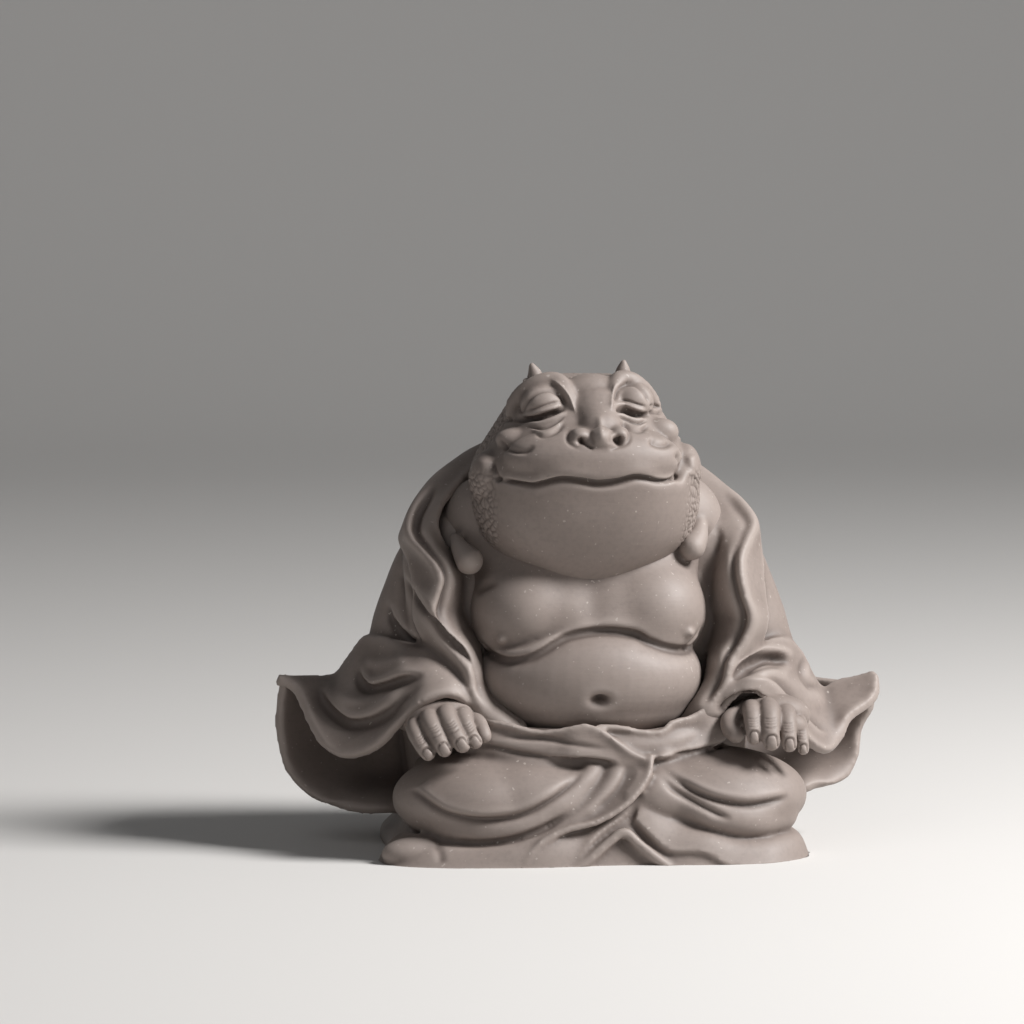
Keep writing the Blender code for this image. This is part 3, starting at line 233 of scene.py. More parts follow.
class Skin:
    """The points of a fused mesh, with what smoothing it and drawing in it need."""

    def __init__(self, mesh):
        self.mesh = mesh
        self.points = np.empty(len(mesh.vertices) * 3)
        mesh.vertices.foreach_get("co", self.points)
        self.points = self.points.reshape(-1, 3)
        edges = np.empty(len(mesh.edges) * 2, int)
        mesh.edges.foreach_get("vertices", edges)
        self.edges = edges.reshape(-1, 2)
        self.beside = np.bincount(self.edges.ravel(), minlength=len(self.points))
        self.face_up()

    def face_up(self):
        """Reads the normals of the points as they now lie."""
        self.mesh.vertices.foreach_set("co", self.points.ravel())
        self.mesh.update()
        normals = np.empty(len(self.mesh.vertices) * 3)
        self.mesh.vertex_normals.foreach_get("vector", normals)
        self.normals = normals.reshape(-1, 3)

    def middles(self, values):
        """For each point, the mean of its neighbours' values."""
        a, b = self.edges.T
        size = len(values)
        summed = [np.bincount(a, v[b], size) + np.bincount(b, v[a], size) for v in values.T]
        return np.stack(summed, axis=1) / self.beside[:, None]

    def relax(self, times):
        """Moves each point half way to the middle of its neighbours, over and over."""
        times = max(1, round(times / COARSE**2))
        for _ in range(times):
            self.points += (self.middles(self.points) - self.points) * 0.5
        self.face_up()
        return self

    def draw(self, path, width, height, kind="soft", fade=0.25, from_behind=False):
        """Raises or sinks the skin along a path of (across, up) points, as the camera sees them.

        soft is height times exp(-(r/w)^2) at a distance r from the path. sharp is height times exp(-2r/w). lap is
        tanh(2r) times the soft bell with the path's left side raised and its right side sunk, as at a fold's edge.
        """
        across, up = SEEN_ACROSS, SEEN_UP
        if from_behind:
            across, up = np.array([1.0, 0, 0]), np.array([0, 0, 1.0])
        toward = np.cross(across, up) * (-1 if from_behind else 1)
        line = smooth_through(path, max(24, 9 * len(path)))
        flat = self.points @ np.stack([across, up], axis=1)
        reach = 2.6 * width
        near = np.flatnonzero(
            (flat >= line.min(axis=0) - reach).all(axis=1)
            & (flat <= line.max(axis=0) + reach).all(axis=1)
            & (self.normals @ toward > 0.02)
        )
        if not len(near):
            return self
        start, step = line[:-1], np.diff(line, axis=0)
        offset = flat[near][:, None] - start
        part = np.clip((offset * step).sum(axis=2) / ((step**2).sum(axis=1) + 1e-9), 0, 1)
        distance = np.linalg.norm(offset - part[..., None] * step, axis=2)
        best = distance.argmin(axis=1)
        each = np.arange(len(near))
        r = distance[each, best]
        t = (best + part[each, best]) / len(step)
        turn = step[best, 0] * offset[each, best, 1] - step[best, 1] * offset[each, best, 0]
        bell = np.exp(-((r / width) ** 2))
        shape = {
            "soft": bell,
            "sharp": np.exp(-2 * r / width),
            "lap": np.tanh(2 * r * np.sign(turn)) * bell,
        }[kind]
        ends = np.clip(np.minimum(t, 1 - t) / fade, 0, 1)
        ends = ends * ends * (3 - 2 * ends)
        turned = np.clip(self.normals[near] @ toward * 3, 0, 1)
        self.points[near] += self.normals[near] * (height * shape * ends * turned)[:, None]
        return self

    def dab(self, centre, radii, height):
        """A round bump, or a dent where height is negative: height times exp(-d^2), d the distance over radii."""
        d = np.linalg.norm((self.points - centre) / radii, axis=1)
        near = d < 2.5
        self.points[near] += self.normals[near] * (height * np.exp(-(d[near] ** 2)))[:, None]
        return self

    def pebble(self, inside, size, height, seed):
        """Small scales. Cells round scattered points are raised, and sink where two points are equally near."""
        chosen = np.flatnonzero(inside > 0.02)
        place = self.points[chosen]
        mixed = np.random.default_rng(seed).permutation(len(place))
        _, first = np.unique(np.floor(place[mixed] / size).astype(int), axis=0, return_index=True)
        centres = KDTree(len(first))
        for index, point in enumerate(place[mixed[first]]):
            centres.insert(point, index)
        centres.balance()
        gaps = np.array([[found[2] for found in centres.find_n(point, 2)] for point in place])
        edge = np.clip((gaps[:, 1] - gaps[:, 0]) / (0.5 * size), 0, 1)
        self.points[chosen] += self.normals[chosen] * (height * (edge * (2 - edge) - 0.6) * inside[chosen])[:, None]
        return self

    def lumps(self):
        """The skin as a lump again, to be pressed into another."""
        corners = np.empty(len(self.mesh.loops), int)
        self.mesh.loops.foreach_get("vertex_index", corners)
        return [(self.points, corners.reshape(-1, 4).tolist())]


def finished(name, skin, most_triangles):
    """The piece in metres on its body, thinned where it is flat, with how hollow each point lies as an attribute.

    The hollow is the distance from each point to the middle of its neighbourhood along its normal: positive in
    folds, negative on edges. The clay's colour uses it to paint shade into folds and light onto edges.
    """
    skin.face_up()
    wide = skin.points
    for _ in range(max(2, round(14 / COARSE**2))):
        wide = skin.middles(wide)
    hollow = np.einsum("ij,ij->i", wide - skin.points, skin.normals)
    layer = skin.mesh.attributes.new("hollow", "FLOAT", "POINT")
    layer.data.foreach_set("value", np.clip(0.5 + hollow * 1.6, 0, 1))
    skin.points[:, 2] = np.maximum(skin.points[:, 2], 0)
    skin.mesh.vertices.foreach_set("co", ((skin.points + CENTRING) * MM).ravel())
    skin.mesh.update()
    thing = placed(name, skin.mesh)
    triangles = 2 * len(skin.mesh.polygons)
    if triangles > most_triangles:
        thin = thing.modifiers.new("thin", "DECIMATE")
        thin.ratio = most_triangles / triangles
        thin.use_collapse_triangulate = True
        thing = placed(name, taken_from(thing, name))
    thing.data.shade_smooth()
    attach(thing, "root")
    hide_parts("toad_figure")
    return thing


def robe_bell():
    """Level superellipse rings from foot to neck, less a second stack of them that opens the robe in front."""
    half = 38.2
    outside = rounded_stack(
        [
            (-1, half - 4, -12, 33), (10, half - 3, -12, 34), (20, half - 2.5, -12, 35),
            (30, half - 1, -13, 35), (40, half, -14, 34), (48, half - 0.5, -15, 33),
            (56, half - 1.4, -14, 31.5), (62, half - 2.6, -11, 29), (68, half - 5.8, -6, 27),
            (73, half - 10, 0, 25), (78, half - 15, 5, 22), (82, half - 22, 9, 19.5),
        ],
        power=2.5,
    )
    opening = rounded_stack(
        [(22, 12, -70, -14), (27, 17, -70, -12), (31, 22, -70, -8), (36, 24.5, -70, -5), (44, 26, -70, -3),
         (52, 26.8, -70, -2), (60, 28.2, -70, 0), (66, 29, -70, 3), (72, 25.5, -70, 7), (78, 19.5, -70, 11),
         (84, 14, -70, 13), (92, 8, -70, 13)],
        power=2.8,
    )
    body, hollow = object_of("robe_bell", outside), object_of("opening", opening)
    cut = body.modifiers.new("cut", "BOOLEAN")
    cut.operation = "DIFFERENCE"
    cut.object = hollow
    mesh = taken_from(body, "robe_bell")
    bpy.data.objects.remove(hollow)
    points = np.empty(len(mesh.vertices) * 3)
    mesh.vertices.foreach_get("co", points)
    return [(points.reshape(-1, 3), [list(face.vertices) for face in mesh.polygons])]


def collar():
    """A sheet through rows of three points, from waist to waist round the neck: inside, rim and outside."""
    rows = [
        [(-11, 24.6, -22.5), (-11.4, 22.4, -25), (-12.6, 20.4, -24.6)],
        [(-15.4, 27.6, -20.5), (-16, 25.4, -25.2), (-18, 23.8, -24)],
        [(-18.2, 30.2, -18), (-19.2, 27.8, -23.6), (-21.8, 26.6, -22)],
        [(-19.9, 33.3, -16), (-21.3, 31.8, -22), (-25, 31.7, -19)],
        [(-20.7, 37.5, -14), (-22.4, 36.4, -21.5), (-26.5, 35.5, -17)],
        [(-21.5, 41.6, -11), (-24.8, 40.2, -20.5), (-28.9, 38.6, -15.5)],
        [(-22.8, 44.7, -9), (-27.5, 43.3, -19.5), (-31.6, 42.2, -14)],
        [(-23.8, 47.8, -8), (-29.6, 47.2, -19), (-33.7, 46.2, -13)],
        [(-24.4, 50.9, -8), (-28.8, 50.9, -19), (-34, 50.4, -13)],
        [(-24.8, 55.1, -8), (-27.9, 54.4, -18.5), (-34.1, 54.4, -12)],
        [(-25.9, 58.2, -9), (-29.4, 58, -16.5), (-35, 58.2, -9)],
        [(-27.5, 60.7, -10), (-32.1, 61.1, -14), (-36.4, 60.7, -6)],
        [(-28.8, 63.8, -10), (-34.4, 63.8, -11), (-36.8, 62.3, -3)],
        [(-28.8, 67.5, -8.5), (-34.2, 67.3, -6.5), (-35.6, 65, 0)],
        [(-27.3, 70.6, -6), (-32.3, 71, -3), (-33.5, 69, 4)],
        [(-24.2, 74.1, -2.5), (-29.6, 74.7, 1), (-30.5, 72.6, 8)],
        [(-21.4, 76.8, 1.5), (-25.9, 77.8, 5), (-26.5, 75.3, 12)],
        [(-17.5, 78.5, 5.5), (-21, 81, 9.5), (-21.5, 77.5, 16)],
        [(-10.5, 80.5, 9), (-12.5, 84.2, 13.5), (-13, 79.5, 19)],
        [(-1.2, 81.5, 11), (-1.4, 85.8, 15.5), (-1.6, 80.5, 21)],
        [(9, 80, 9), (11, 83.6, 13.5), (11.5, 79, 19)],
        [(17, 77.2, 5.5), (20, 79.6, 10), (20.5, 76.5, 16)],
        [(21, 75, 3), (24.8, 76.8, 7), (25, 74, 14)],
        [(25, 71, -1), (29, 73.3, 3), (29.8, 71, 10)],
        [(27.5, 67.6, -4), (32.3, 70.2, -1), (33.4, 68, 6)],
        [(29, 64.6, -8), (35, 66.2, -6), (36.2, 63.5, 0)],
        [(29, 61.3, -10), (33.7, 62.8, -11), (36.6, 61.5, -5)],
        [(28.6, 58.2, -10), (32.1, 59.2, -15), (37, 58.2, -8)],
        [(27.9, 54, -10), (31.9, 55.1, -17.5), (37.2, 54, -10.5)],
        [(26.9, 49.9, -9), (32.7, 50.5, -18.5), (37.6, 49.9, -12)],
        [(26.7, 45.7, -8), (34.2, 46.2, -18.5), (38, 45.8, -13)],
        [(26.7, 41.6, -9), (32.5, 42, -19), (36.4, 40.8, -14)],
        [(26.5, 37.5, -12), (29.6, 38.5, -20), (33.8, 37, -15)],
        [(25.9, 34.4, -14), (29.2, 35, -21), (32.8, 33.6, -17)],
        [(24.4, 31.3, -17), (27.2, 31, -22), (30.4, 30, -19)],
        [(22.6, 28.6, -18), (24.9, 27.6, -23), (27.6, 26, -21)],
        [(20.8, 26.4, -18), (23, 25, -20), (25.6, 23, -19)],
        [(17.4, 24, -17), (19.8, 22.2, -18.6), (22.6, 20.2, -18)],
    ]
    return cloth(seen(rows), COLLAR_THICKNESS, (300, 24))


def arm(side):
    """Upper arm and forearm under the sleeve: circles along a smooth curve from shoulder to knee."""
    path = [(24, 0, 61), (27, 1, 56), (30, 1, 49), (33, 0, 42), (35.5, -3, 36.5), (35, -10, 32), (32.5, -17, 30)]
    return rope([(side * x, y, z) for x, y, z in path], [10.5, 11.5, 11.5, 11, 9.5, 8, 5.5])


def shoulder(path):
    """The cloth behind the collar: circles along a smooth curve from the crook of the neck to the upper arm."""
    return rope(seen(path), [3.8, 4.4, 4.8, 4.6, 4.2, 3.4])


def sleeve(front, back):
    """Two sheets, each a smooth surface through rows of points: one falls over the forearm, one hangs behind."""
    return cloth(seen(front), SLEEVE_THICKNESS, (110, 200)) + cloth(seen(back), SLEEVE_THICKNESS, (90, 90))


def left_sleeve():
    """The sleeve that hangs furthest, its outer corner drawn to a point."""
    front = [
        [(-62.6, 34, 0.5), (-56.7, 34, 2.5), (-52.8, 33.9, 3.5), (-49.8, 34.8, 2.5), (-47, 38.5, 1),
         (-44, 42.5, -1), (-40.4, 42.6, -7), (-36.2, 41.6, -11), (-31, 40.5, -14), (-26.9, 37.4, -17),
         (-23.2, 34, -18)],
        [(-62.6, 33.8, 0), (-57.2, 32.6, 0.5), (-53.6, 31, -0.5), (-50.4, 30.2, -3), (-47.2, 32, -6.5),
         (-43.1, 33, -9), (-38.9, 34.2, -13), (-34.8, 35.6, -17), (-31, 35.6, -19.5), (-26.5, 34.4, -20.5),
         (-22.8, 31.6, -20.5)],
        [(-62.5, 33.5, -0.5), (-58.2, 32, -1), (-54.6, 27.2, -4), (-51.4, 25.2, -7), (-47.6, 25, -10),
         (-43.1, 26.2, -12.5), (-39.3, 28.2, -15.5), (-35.8, 30.4, -19), (-32, 32, -22), (-26.4, 32.4, -23),
         (-22.6, 29.8, -21.5)],
        [(-62.4, 33.2, -1), (-58.8, 31.6, -2), (-54.9, 23.6, -8), (-52.4, 19.9, -11), (-48.6, 18, -14),
         (-44.5, 18.6, -17), (-41, 20.5, -19.5), (-37.3, 24.6, -22), (-32.2, 29, -24.5), (-26.9, 30.6, -24.5),
         (-22.6, 28.2, -22.5)],
    ]
    back = [
        [(-61.5, 33.4, 2.5), (-54.5, 34, 8), (-46.5, 35, 12), (-39, 36, 13), (-31, 36, 14)],
        [(-62.3, 27.5, 3.5), (-54.5, 27, 10), (-46.5, 27, 13), (-39, 27, 13), (-31, 27, 14)],
        [(-62.2, 21.7, 3.5), (-54.5, 19, 9), (-46.5, 19, 11), (-39, 19, 11), (-31, 19, 12)],
        [(-60.6, 15, 3), (-53, 13.6, 6), (-46, 13, 7), (-39, 13, 7), (-31, 13, 9)],
        [(-56.6, 10, 2), (-51, 9.3, 1), (-45.6, 9, -1), (-39, 9.6, -1), (-31, 9, 2)],
        [(-52.6, 8.2, 0), (-48.5, 7.2, -2.5), (-44, 6.5, -4.5), (-39, 6.6, -5), (-31, 6, -2)],
    ]
    return sleeve(front, back)


def right_sleeve():
    """The sleeve whose outer corner curls up."""
    front = [
        [(61.2, 35, 2), (58.2, 33.9, 3), (53.8, 32.9, 4), (50.2, 31.2, 3), (47.2, 35, 1), (45, 39.5, -1),
         (41.8, 42, -7), (38.2, 41.5, -11), (34, 40, -14), (30.5, 37.5, -17), (27.6, 34, -19)],
        [(62, 34.2, 1), (58.8, 32, 1), (54.6, 29.6, 0), (50.8, 27.6, -2.5), (47.6, 29.6, -6), (45, 32, -9),
         (41.8, 34, -13), (38.4, 35.6, -17), (34.6, 36, -19.5), (31, 34.6, -20.5), (28.2, 32, -20.5)],
        [(62.2, 32.6, 0), (59.4, 30, -1), (55.4, 27, -4), (52.2, 23.8, -7), (49.2, 23.6, -10),
         (46.2, 25.6, -13), (42.8, 28.6, -16.5), (39.2, 31.4, -20.5), (35.2, 32.6, -23), (31.2, 31.6, -23),
         (28.2, 29, -22)],
        [(61.9, 30.8, -2), (60, 28.2, -4), (55.4, 25.2, -7.5), (52.8, 19.9, -11), (50.3, 18.6, -14),
         (47.2, 20.3, -17), (44.5, 23.2, -19.5), (40.8, 28, -23), (35.2, 31, -25), (31, 30, -24.5),
         (28, 26.4, -23)],
    ]
    back = [
        [(61.2, 32, 2.5), (54.5, 33, 8), (46.5, 34, 12), (39, 35, 13), (31, 36, 14)],
        [(61, 27.6, 3), (53.8, 27, 9), (46.5, 26, 13), (39, 26, 13), (31, 27, 14)],
        [(58.6, 22.6, 4.5), (52.8, 21, 8), (46.5, 20, 11), (39, 19, 12), (31, 19, 12)],
        [(58.2, 17.6, 4), (52.4, 16, 5), (46.5, 15, 6), (39, 14, 8), (31, 13, 9)],
        [(55.8, 13, 2.5), (51, 12.2, 0), (46.5, 11.8, -2), (39, 11, 0), (31, 9, 2)],
        [(52.6, 11.4, 0), (49, 11.2, -2.5), (46, 10.2, -4.5), (39, 8.6, -5), (31, 6, -2)],
    ]
    return sleeve(front, back)


robe_lumps = robe_bell() + collar() + arm(-1) + arm(1) + left_sleeve() + right_sleeve()
for path in (
    [(-31, 44, -10), (-31.5, 50, -9), (-31.5, 55, -8), (-31.8, 60, -4), (-31.2, 64, 0), (-29.5, 69, 4)],
    [(33.4, 44, -9), (33.4, 50, -8), (33, 55, -6.5), (32.4, 60, -3), (31.4, 64, 1), (29, 69, 5)],
):
    robe_lumps += shoulder(path)
robe = press("toad_robe", robe_lumps, ROBE_GRAIN)
robe.relax(6)

# folds over the left shoulder and sleeve, from the neck down to the hem
left_folds = [
    ([(-37.9, 57), (-34.2, 52), (-31, 47.4), (-27.9, 43.2), (-23.8, 39.1), (-21.7, 35.4)], 2, 1.1),
    ([(-39.6, 50.4), (-38.3, 45.7), (-35.2, 42.6), (-31, 41.2)], 1.9, 1),
    ([(-45.8, 37.6), (-45.1, 34), (-43.1, 32.1), (-39.3, 32.9), (-35.8, 34.4), (-31.4, 35.6)], 2.4, 1.4),
    ([(-53.8, 33.6), (-52.8, 30.2), (-50.3, 27.1), (-47.2, 25.3), (-43.1, 25.7), (-39.3, 27.7), (-36.2, 30.8),
      (-31.6, 34.2)], 2.2, 1.2),
]
for path, width, height in left_folds:
    robe.draw(path, width, height, "lap", fade=0.3)
robe.face_up()
for path, width, height in left_folds:
    robe.draw([(u, v - 0.4) for u, v in path], 0.32 * width, -1.1 * height, fade=0.3)
left_rim = [
    (-19.2, 27.8), (-21.3, 31.8), (-22.4, 36.4), (-24.8, 40.2), (-27.5, 43.3), (-29.6, 47.2), (-28.8, 50.9),
    (-27.9, 54.4), (-29.4, 58), (-32.1, 61.1), (-34.4, 63.8), (-34.2, 67.3), (-32.3, 71), (-29.6, 74.7),
]
robe.draw(left_rim, 1.7, 0.8, "lap", fade=0.1)
robe.face_up()
robe.draw([(u + 0.9, v) for u, v in left_rim[4:]], 0.7, -1.3, fade=0.2)
robe.draw([(u - 0.3, v) for u, v in left_rim[1:]], 0.6, 0.35, "sharp", fade=0.1)
robe.draw([(-44.5, 38.4), (-42, 36.8), (-38, 37.4), (-34, 38.6)], 1.5, 0.7)
robe.draw([(-51, 32.6), (-49, 30), (-46, 28.9), (-42, 29.6), (-38, 31.6), (-34, 34.6)], 1.6, 0.8)

# folds over the right shoulder and sleeve
right_folds = [
    ([(29.6, 33.4), (33.1, 37), (36.6, 39.1), (41.4, 38.6), (44, 37)], 1.9, 1.3),
    ([(31, 33.2), (35.2, 35.2), (39, 36), (43, 35.4)], 1.6, -0.9),
    ([(46.8, 38.6), (46.2, 35.4), (47.2, 33), (49, 31.6)], 1.4, 0.9),
]
for path, width, height in right_folds:
    robe.draw(path, width, height, "lap", fade=0.3)
robe.face_up()
robe.draw([(30.4, 33.8), (34, 36.6), (38.6, 37.9), (42.6, 37.2)], 0.8, -1.6)
right_rim = [
    (29, 73.3), (32.3, 70.2), (35, 66.2), (33.7, 62.8), (32.1, 59.2), (31.9, 55.1), (32.9, 50.5), (34, 46.2),
    (32.5, 42), (29.8, 37.6), (28.8, 33.6), (27.2, 31), (24.9, 27.6),
]
robe.draw(right_rim, 1.7, 0.8, "lap", fade=0.1)
robe.face_up()
robe.draw([(u - 0.9, v) for u, v in right_rim[3:]], 0.7, -1, fade=0.2)
robe.draw([(u + 0.3, v) for u, v in right_rim[1:]], 0.6, 0.35, "sharp", fade=0.1)
cuff = [(51.2, 22.6), (48.8, 23.6), (45.5, 27), (42, 31), (38, 33.8), (33.6, 34.4), (30, 32.6)]
robe.draw(cuff, 1.1, 0.6, "lap", fade=0.2)
robe.draw([(28.6, 26), (30, 28.8), (33.4, 30.6), (37.4, 30.4), (41, 28.8), (44, 25.6)], 1.5, -2.6, fade=0.2)
robe.draw([(33, 33.6), (38, 34.6), (43, 33), (48, 29.8), (52, 28.6)], 1.8, 0.7)

# long soft folds down the back, as the cloth hangs from the shoulders
back_folds = [
    (-27, -5, 2.6), (-18, -2, 2.2), (-8.5, -1, 2.6), (2, 1, 2.2), (11.5, 2, 2.6), (21, 4, 2.4), (29, 6, 2.2)
]
for x, lean, width in back_folds:
    robe.draw([(x * 0.5, 76), (x * 0.72, 62), (x * 0.9 + lean * 0.4, 42), (x + lean, 20), (x + lean * 1.3, 4)],
              width, -1.1, from_behind=True)
robe.relax(2)
robe_piece = finished("toad_robe", robe, ROBE_TRIANGLES)


# The chest and belly: bare skin between the robe's edges, full and soft, with the breasts hanging over the belly.
# Two drops of skin hang from the neck. Rolled from the same clay and stroked together under the thumb.

BODY_GRAIN = 0.5
BODY_TRIANGLES = 120000

chest = ball((0, -1, 58), (26, 19.5, 15)) + ball((0, 6, 40), (26, 20, 26)) + ball((0.3, -7.5, 52.5), (22, 13, 12))
chest += ball((0.5, -11.5, 47.5), (18, 13.4, 10.5)) + ball((0.3, -9.4, 50.6), (19, 13.8, 9.6))
for side in (-1, 1):
    chest += ball((side * 12.6 + 0.3, -11.6, 49), (12.2, 13.4, 11.6), (0, side * 8, 0))
    chest += ball((side * 20, -3, 66), (9.8, 9, 11))
chest = press("chest", chest, 0.6).relax(90)
underline = [
    (-23, 44.5), (-21.1, 41.6), (-18, 39.2), (-14.5, 38.3), (-11, 38.8), (-8.3, 40), (-5, 42),
    (-2.1, 43.3), (4.1, 44.3), (10.4, 43.7), (13.5, 42.2), (16.6, 41), (19.4, 40.4), (21.7, 40.6), (24, 43),
    (25.2, 46.5),
]
chest.dab((0.4, -25.5, 52), (3.4, 9, 8), -1.1)
chest.draw([(-22, 51), (-20.6, 52.2), (-19, 53.1), (-16.6, 53.4)], 0.7, -0.9, fade=0.35)
left_drop = rope(seen([(-25.6, 62.8, -10.8), (-24.6, 60.6, -13.4), (-22.8, 58.2, -15.4)]), [1.3, 2, 3])
right_drop = rope(seen([(24.6, 66.4, -9.4), (24, 63.2, -12.4), (22.8, 60.9, -14.4)]), [1.4, 2.2, 2.8])
belly = ball((0.3, -13.5, 36), (23.2, 16.8, 13.4)) + ball((0.5, -13.6, 31), (20.6, 14.8, 8.8))
body = press("toad_body", chest.lumps() + left_drop + right_drop + belly, BODY_GRAIN).relax(5)
body.draw(underline, 2.6, 0.7, "lap", fade=0.1)
body.face_up()
body.draw([(u, v - 0.3) for u, v in underline], 0.8, -0.8, fade=0.08)
for place, radii, height in (
    ((3.9, 29.8, -30), (1.7, 4, 1.1), -2.9),
    ((-16.1, 42.2, -22), (0.8, 3, 0.8), 1),
    ((21.9, 43.7, -20), (0.8, 3, 0.8), 1),
):
    body.dab(seen([place])[0], radii, height)
body.draw([(-18, 28.6), (-19.6, 31), (-20.6, 34)], 0.7, -0.6)
body_piece = finished("toad_body", body, BODY_TRIANGLES)


# The head: a toad's, broad at the jaw, tilted up, with heavy lids, a round nose and a wide wavy smile.
# The lids, brows and lips are laid on as rolls and cut with a fine tool; scales are pressed into the sides.

HEAD_GRAIN = 0.24
HEAD_TRIANGLES = 195000
SCALE_SIZE = 1.7
SCALE_HEIGHT = 0.42
SCALE_SEED = 5

head_lumps = rounded_stack(
    [(52, 3.5, -14.5, 4), (55, 9.4, -19, 8), (58.4, 14.8, -22, 10), (61.5, 19, -24.2, 12), (65, 21.9, -26, 14),
     (69, 23.2, -27.4, 16), (73, 23.6, -28.2, 18), (77, 23.2, -28.8, 19), (80.5, 21.8, -28.4, 18.5),
     (84, 19.6, -26.2, 17), (88, 17, -22.2, 14.5), (92, 14.4, -17.8, 11), (95, 11, -13.6, 7),
     (97, 6.6, -9, 1)],
    power=2.5,
)
head_lumps += ball((0.2, -20.4, 80.8), (18.4, 9.3, 7.4))
head_lumps += rope(
    seen([(2.4, 91.8, -9.4), (2.9, 89.2, -11.6), (3.4, 86.4, -15.6), (3.8, 84.2, -20.8)]), [4.2, 6.2, 7, 5]
)
for place, radii in (
    ((2.1, 92.4, -12.8), (6.4, 4.2, 4)),
    ((4, 82.8, -26.9), (2.9, 2.8, 2.5)),
    ((-0.3, 83.4, -25.8), (2.2, 2.6, 1.8)),
    ((7.7, 83.7, -25.3), (2, 2.6, 1.8)),
    ((-7.6, 89.9, -14.6), (4.9, 4.6, 4.1)),
    ((10.5, 90.6, -14.2), (4.4, 4.6, 4)),
    ((-12.9, 82.8, -16.2), (4.7, 3.1, 2.6)),
    ((16.3, 84.4, -16.4), (3.7, 2.8, 2.9)),
    ((-19, 75.2, -13.6), (3.8, 6, 5.4)),
    ((21.2, 76.8, -13), (3.4, 6, 5.4)),
):
    head_lumps += ball(seen([place])[0], radii)
left_brow = [
    (-1.6, 88.8, -17.8), (-2.8, 92, -16), (-4.9, 94.6, -13.8), (-8.4, 94.4, -13.2), (-11.6, 92.6, -12.2),
    (-13.6, 90.4, -11.2), (-14.4, 88.2, -11.2),
]
right_brow = [
    (6.4, 89.6, -17.8), (6.8, 92.4, -16), (7.7, 95, -13.8), (10.2, 95, -13), (12.6, 93.4, -12),
    (14.5, 91.2, -10.8), (15.6, 89.2, -10.6),
]
head_lumps += rope(seen(left_brow), [1.3, 1.8, 2, 1.9, 1.8, 1.6, 1.2])
head_lumps += rope(seen(right_brow), [1.3, 1.7, 1.9, 1.8, 1.7, 1.5, 1.1])
head_lumps += rope(seen([(-9, 94.4, -7), (-9.5, 96.6, -7.2), (-10, 98, -7.4)]), [2, 1.5, 0.8])
head_lumps += rope(seen([(-11, 93, -7), (-11.4, 94.6, -7.2)]), [1.3, 0.8])
head_lumps += rope(seen([(8.6, 95.2, -7), (8.7, 97.4, -7.2), (8.8, 98.7, -7.4)]), [2, 1.5, 0.8])
head = press("toad_head", head_lumps, HEAD_GRAIN).relax(22)
mouth = [
    (-16.4, 74.7), (-13.5, 74.1), (-10.1, 73.5), (-7.7, 73.9), (-4.3, 74.7), (-1, 74.5), (3.1, 73.9), (7.2, 74.3),
    (10.6, 75.1), (13, 74.9), (15.5, 74.3), (18, 74.5), (19.6, 75.8),
]
head.draw(mouth, 1.5, 0.35, "lap", fade=0.25)
head.draw([(u, v + 1.5) for u, v in mouth[1:-1]], 1.4, 0.45, fade=0.2)
head.dab(seen([(-16.8, 74.8, -21.5)])[0], (0.5, 6, 0.5), -1.3)
head.dab(seen([(19.7, 75.8, -20.5)])[0], (0.9, 6, 1.1), -1.9)
for path, width, height in (
    ([(-17.9, 78.6), (-17.6, 77), (-16.9, 75.2), (-16.4, 73.8)], 0.4, -0.45),
    ([(19, 80.6), (20.2, 79.2), (20.7, 77.6), (20.1, 75.8), (19.2, 74)], 0.8, -1.2),
    ([(-19.4, 79.4), (-19.4, 76.5), (-18.6, 73.6)], 1.6, 0.3),
    ([(22, 80), (22.4, 77.5), (21.6, 75)], 1.2, 0.5),
    ([(-17.2, 83.8), (-16, 81.8), (-14, 80.6), (-11.4, 80.4), (-9.2, 81.8)], 0.6, -0.7),
    ([(13.6, 83.2), (14.8, 82), (17, 81.7), (19, 82.8)], 0.7, -0.8),
):
    head.draw(path, width, height)
head.face_up()
head.draw(mouth, 0.42, -1.3, fade=0.06)
head.draw([(-3, 74.6), (0.5, 74.2), (3.6, 73.6), (7.4, 74), (11.4, 74.8)], 0.8, -0.5, fade=0.4)
head.draw([(u, v - 1.3) for u, v in mouth[1:-1]], 0.8, 0.2, fade=0.2)
# nostrils and the creases round the wings
head.dab(seen([(-0.1, 82.5, -28)])[0], (0.75, 3, 0.6), -1.7)
head.dab(seen([(7.5, 82.7, -27)])[0], (0.85, 3, 0.85), -1.9)
for path, width, height in (
    ([(-0.9, 83), (0.2, 82.2), (1.4, 81.4), (2.6, 80.6)], 0.35, -0.6),
    ([(-2, 85), (-2.9, 83.7), (-2.7, 82.2), (-1.4, 81.3), (0.2, 81.3)], 0.4, -0.35),
    ([(8.4, 85.6), (9.6, 84.2), (9.6, 82.6), (8.6, 81.6), (6.8, 81), (5.4, 80.4)], 0.4, -0.35),
    ([(1.6, 84.6), (1.9, 83), (2.4, 81.4)], 0.5, -0.3),
    ([(6.2, 85), (6, 83.4), (5.6, 81.6)], 0.5, -0.3),
    ([(3.6, 88), (3.9, 85), (4.2, 82)], 0.7, 0.35),
):
    head.draw(path, width, height)
head.draw([(-0.9, 87.6), (-1.7, 89.6), (-2.6, 91.8), (-4.4, 94), (-6.6, 95.4)], 0.8, 0.6, "sharp")
head.draw([(6, 88.4), (6.1, 90.4), (6.5, 92.6), (7.4, 94.8)], 0.7, 0.6, "sharp")
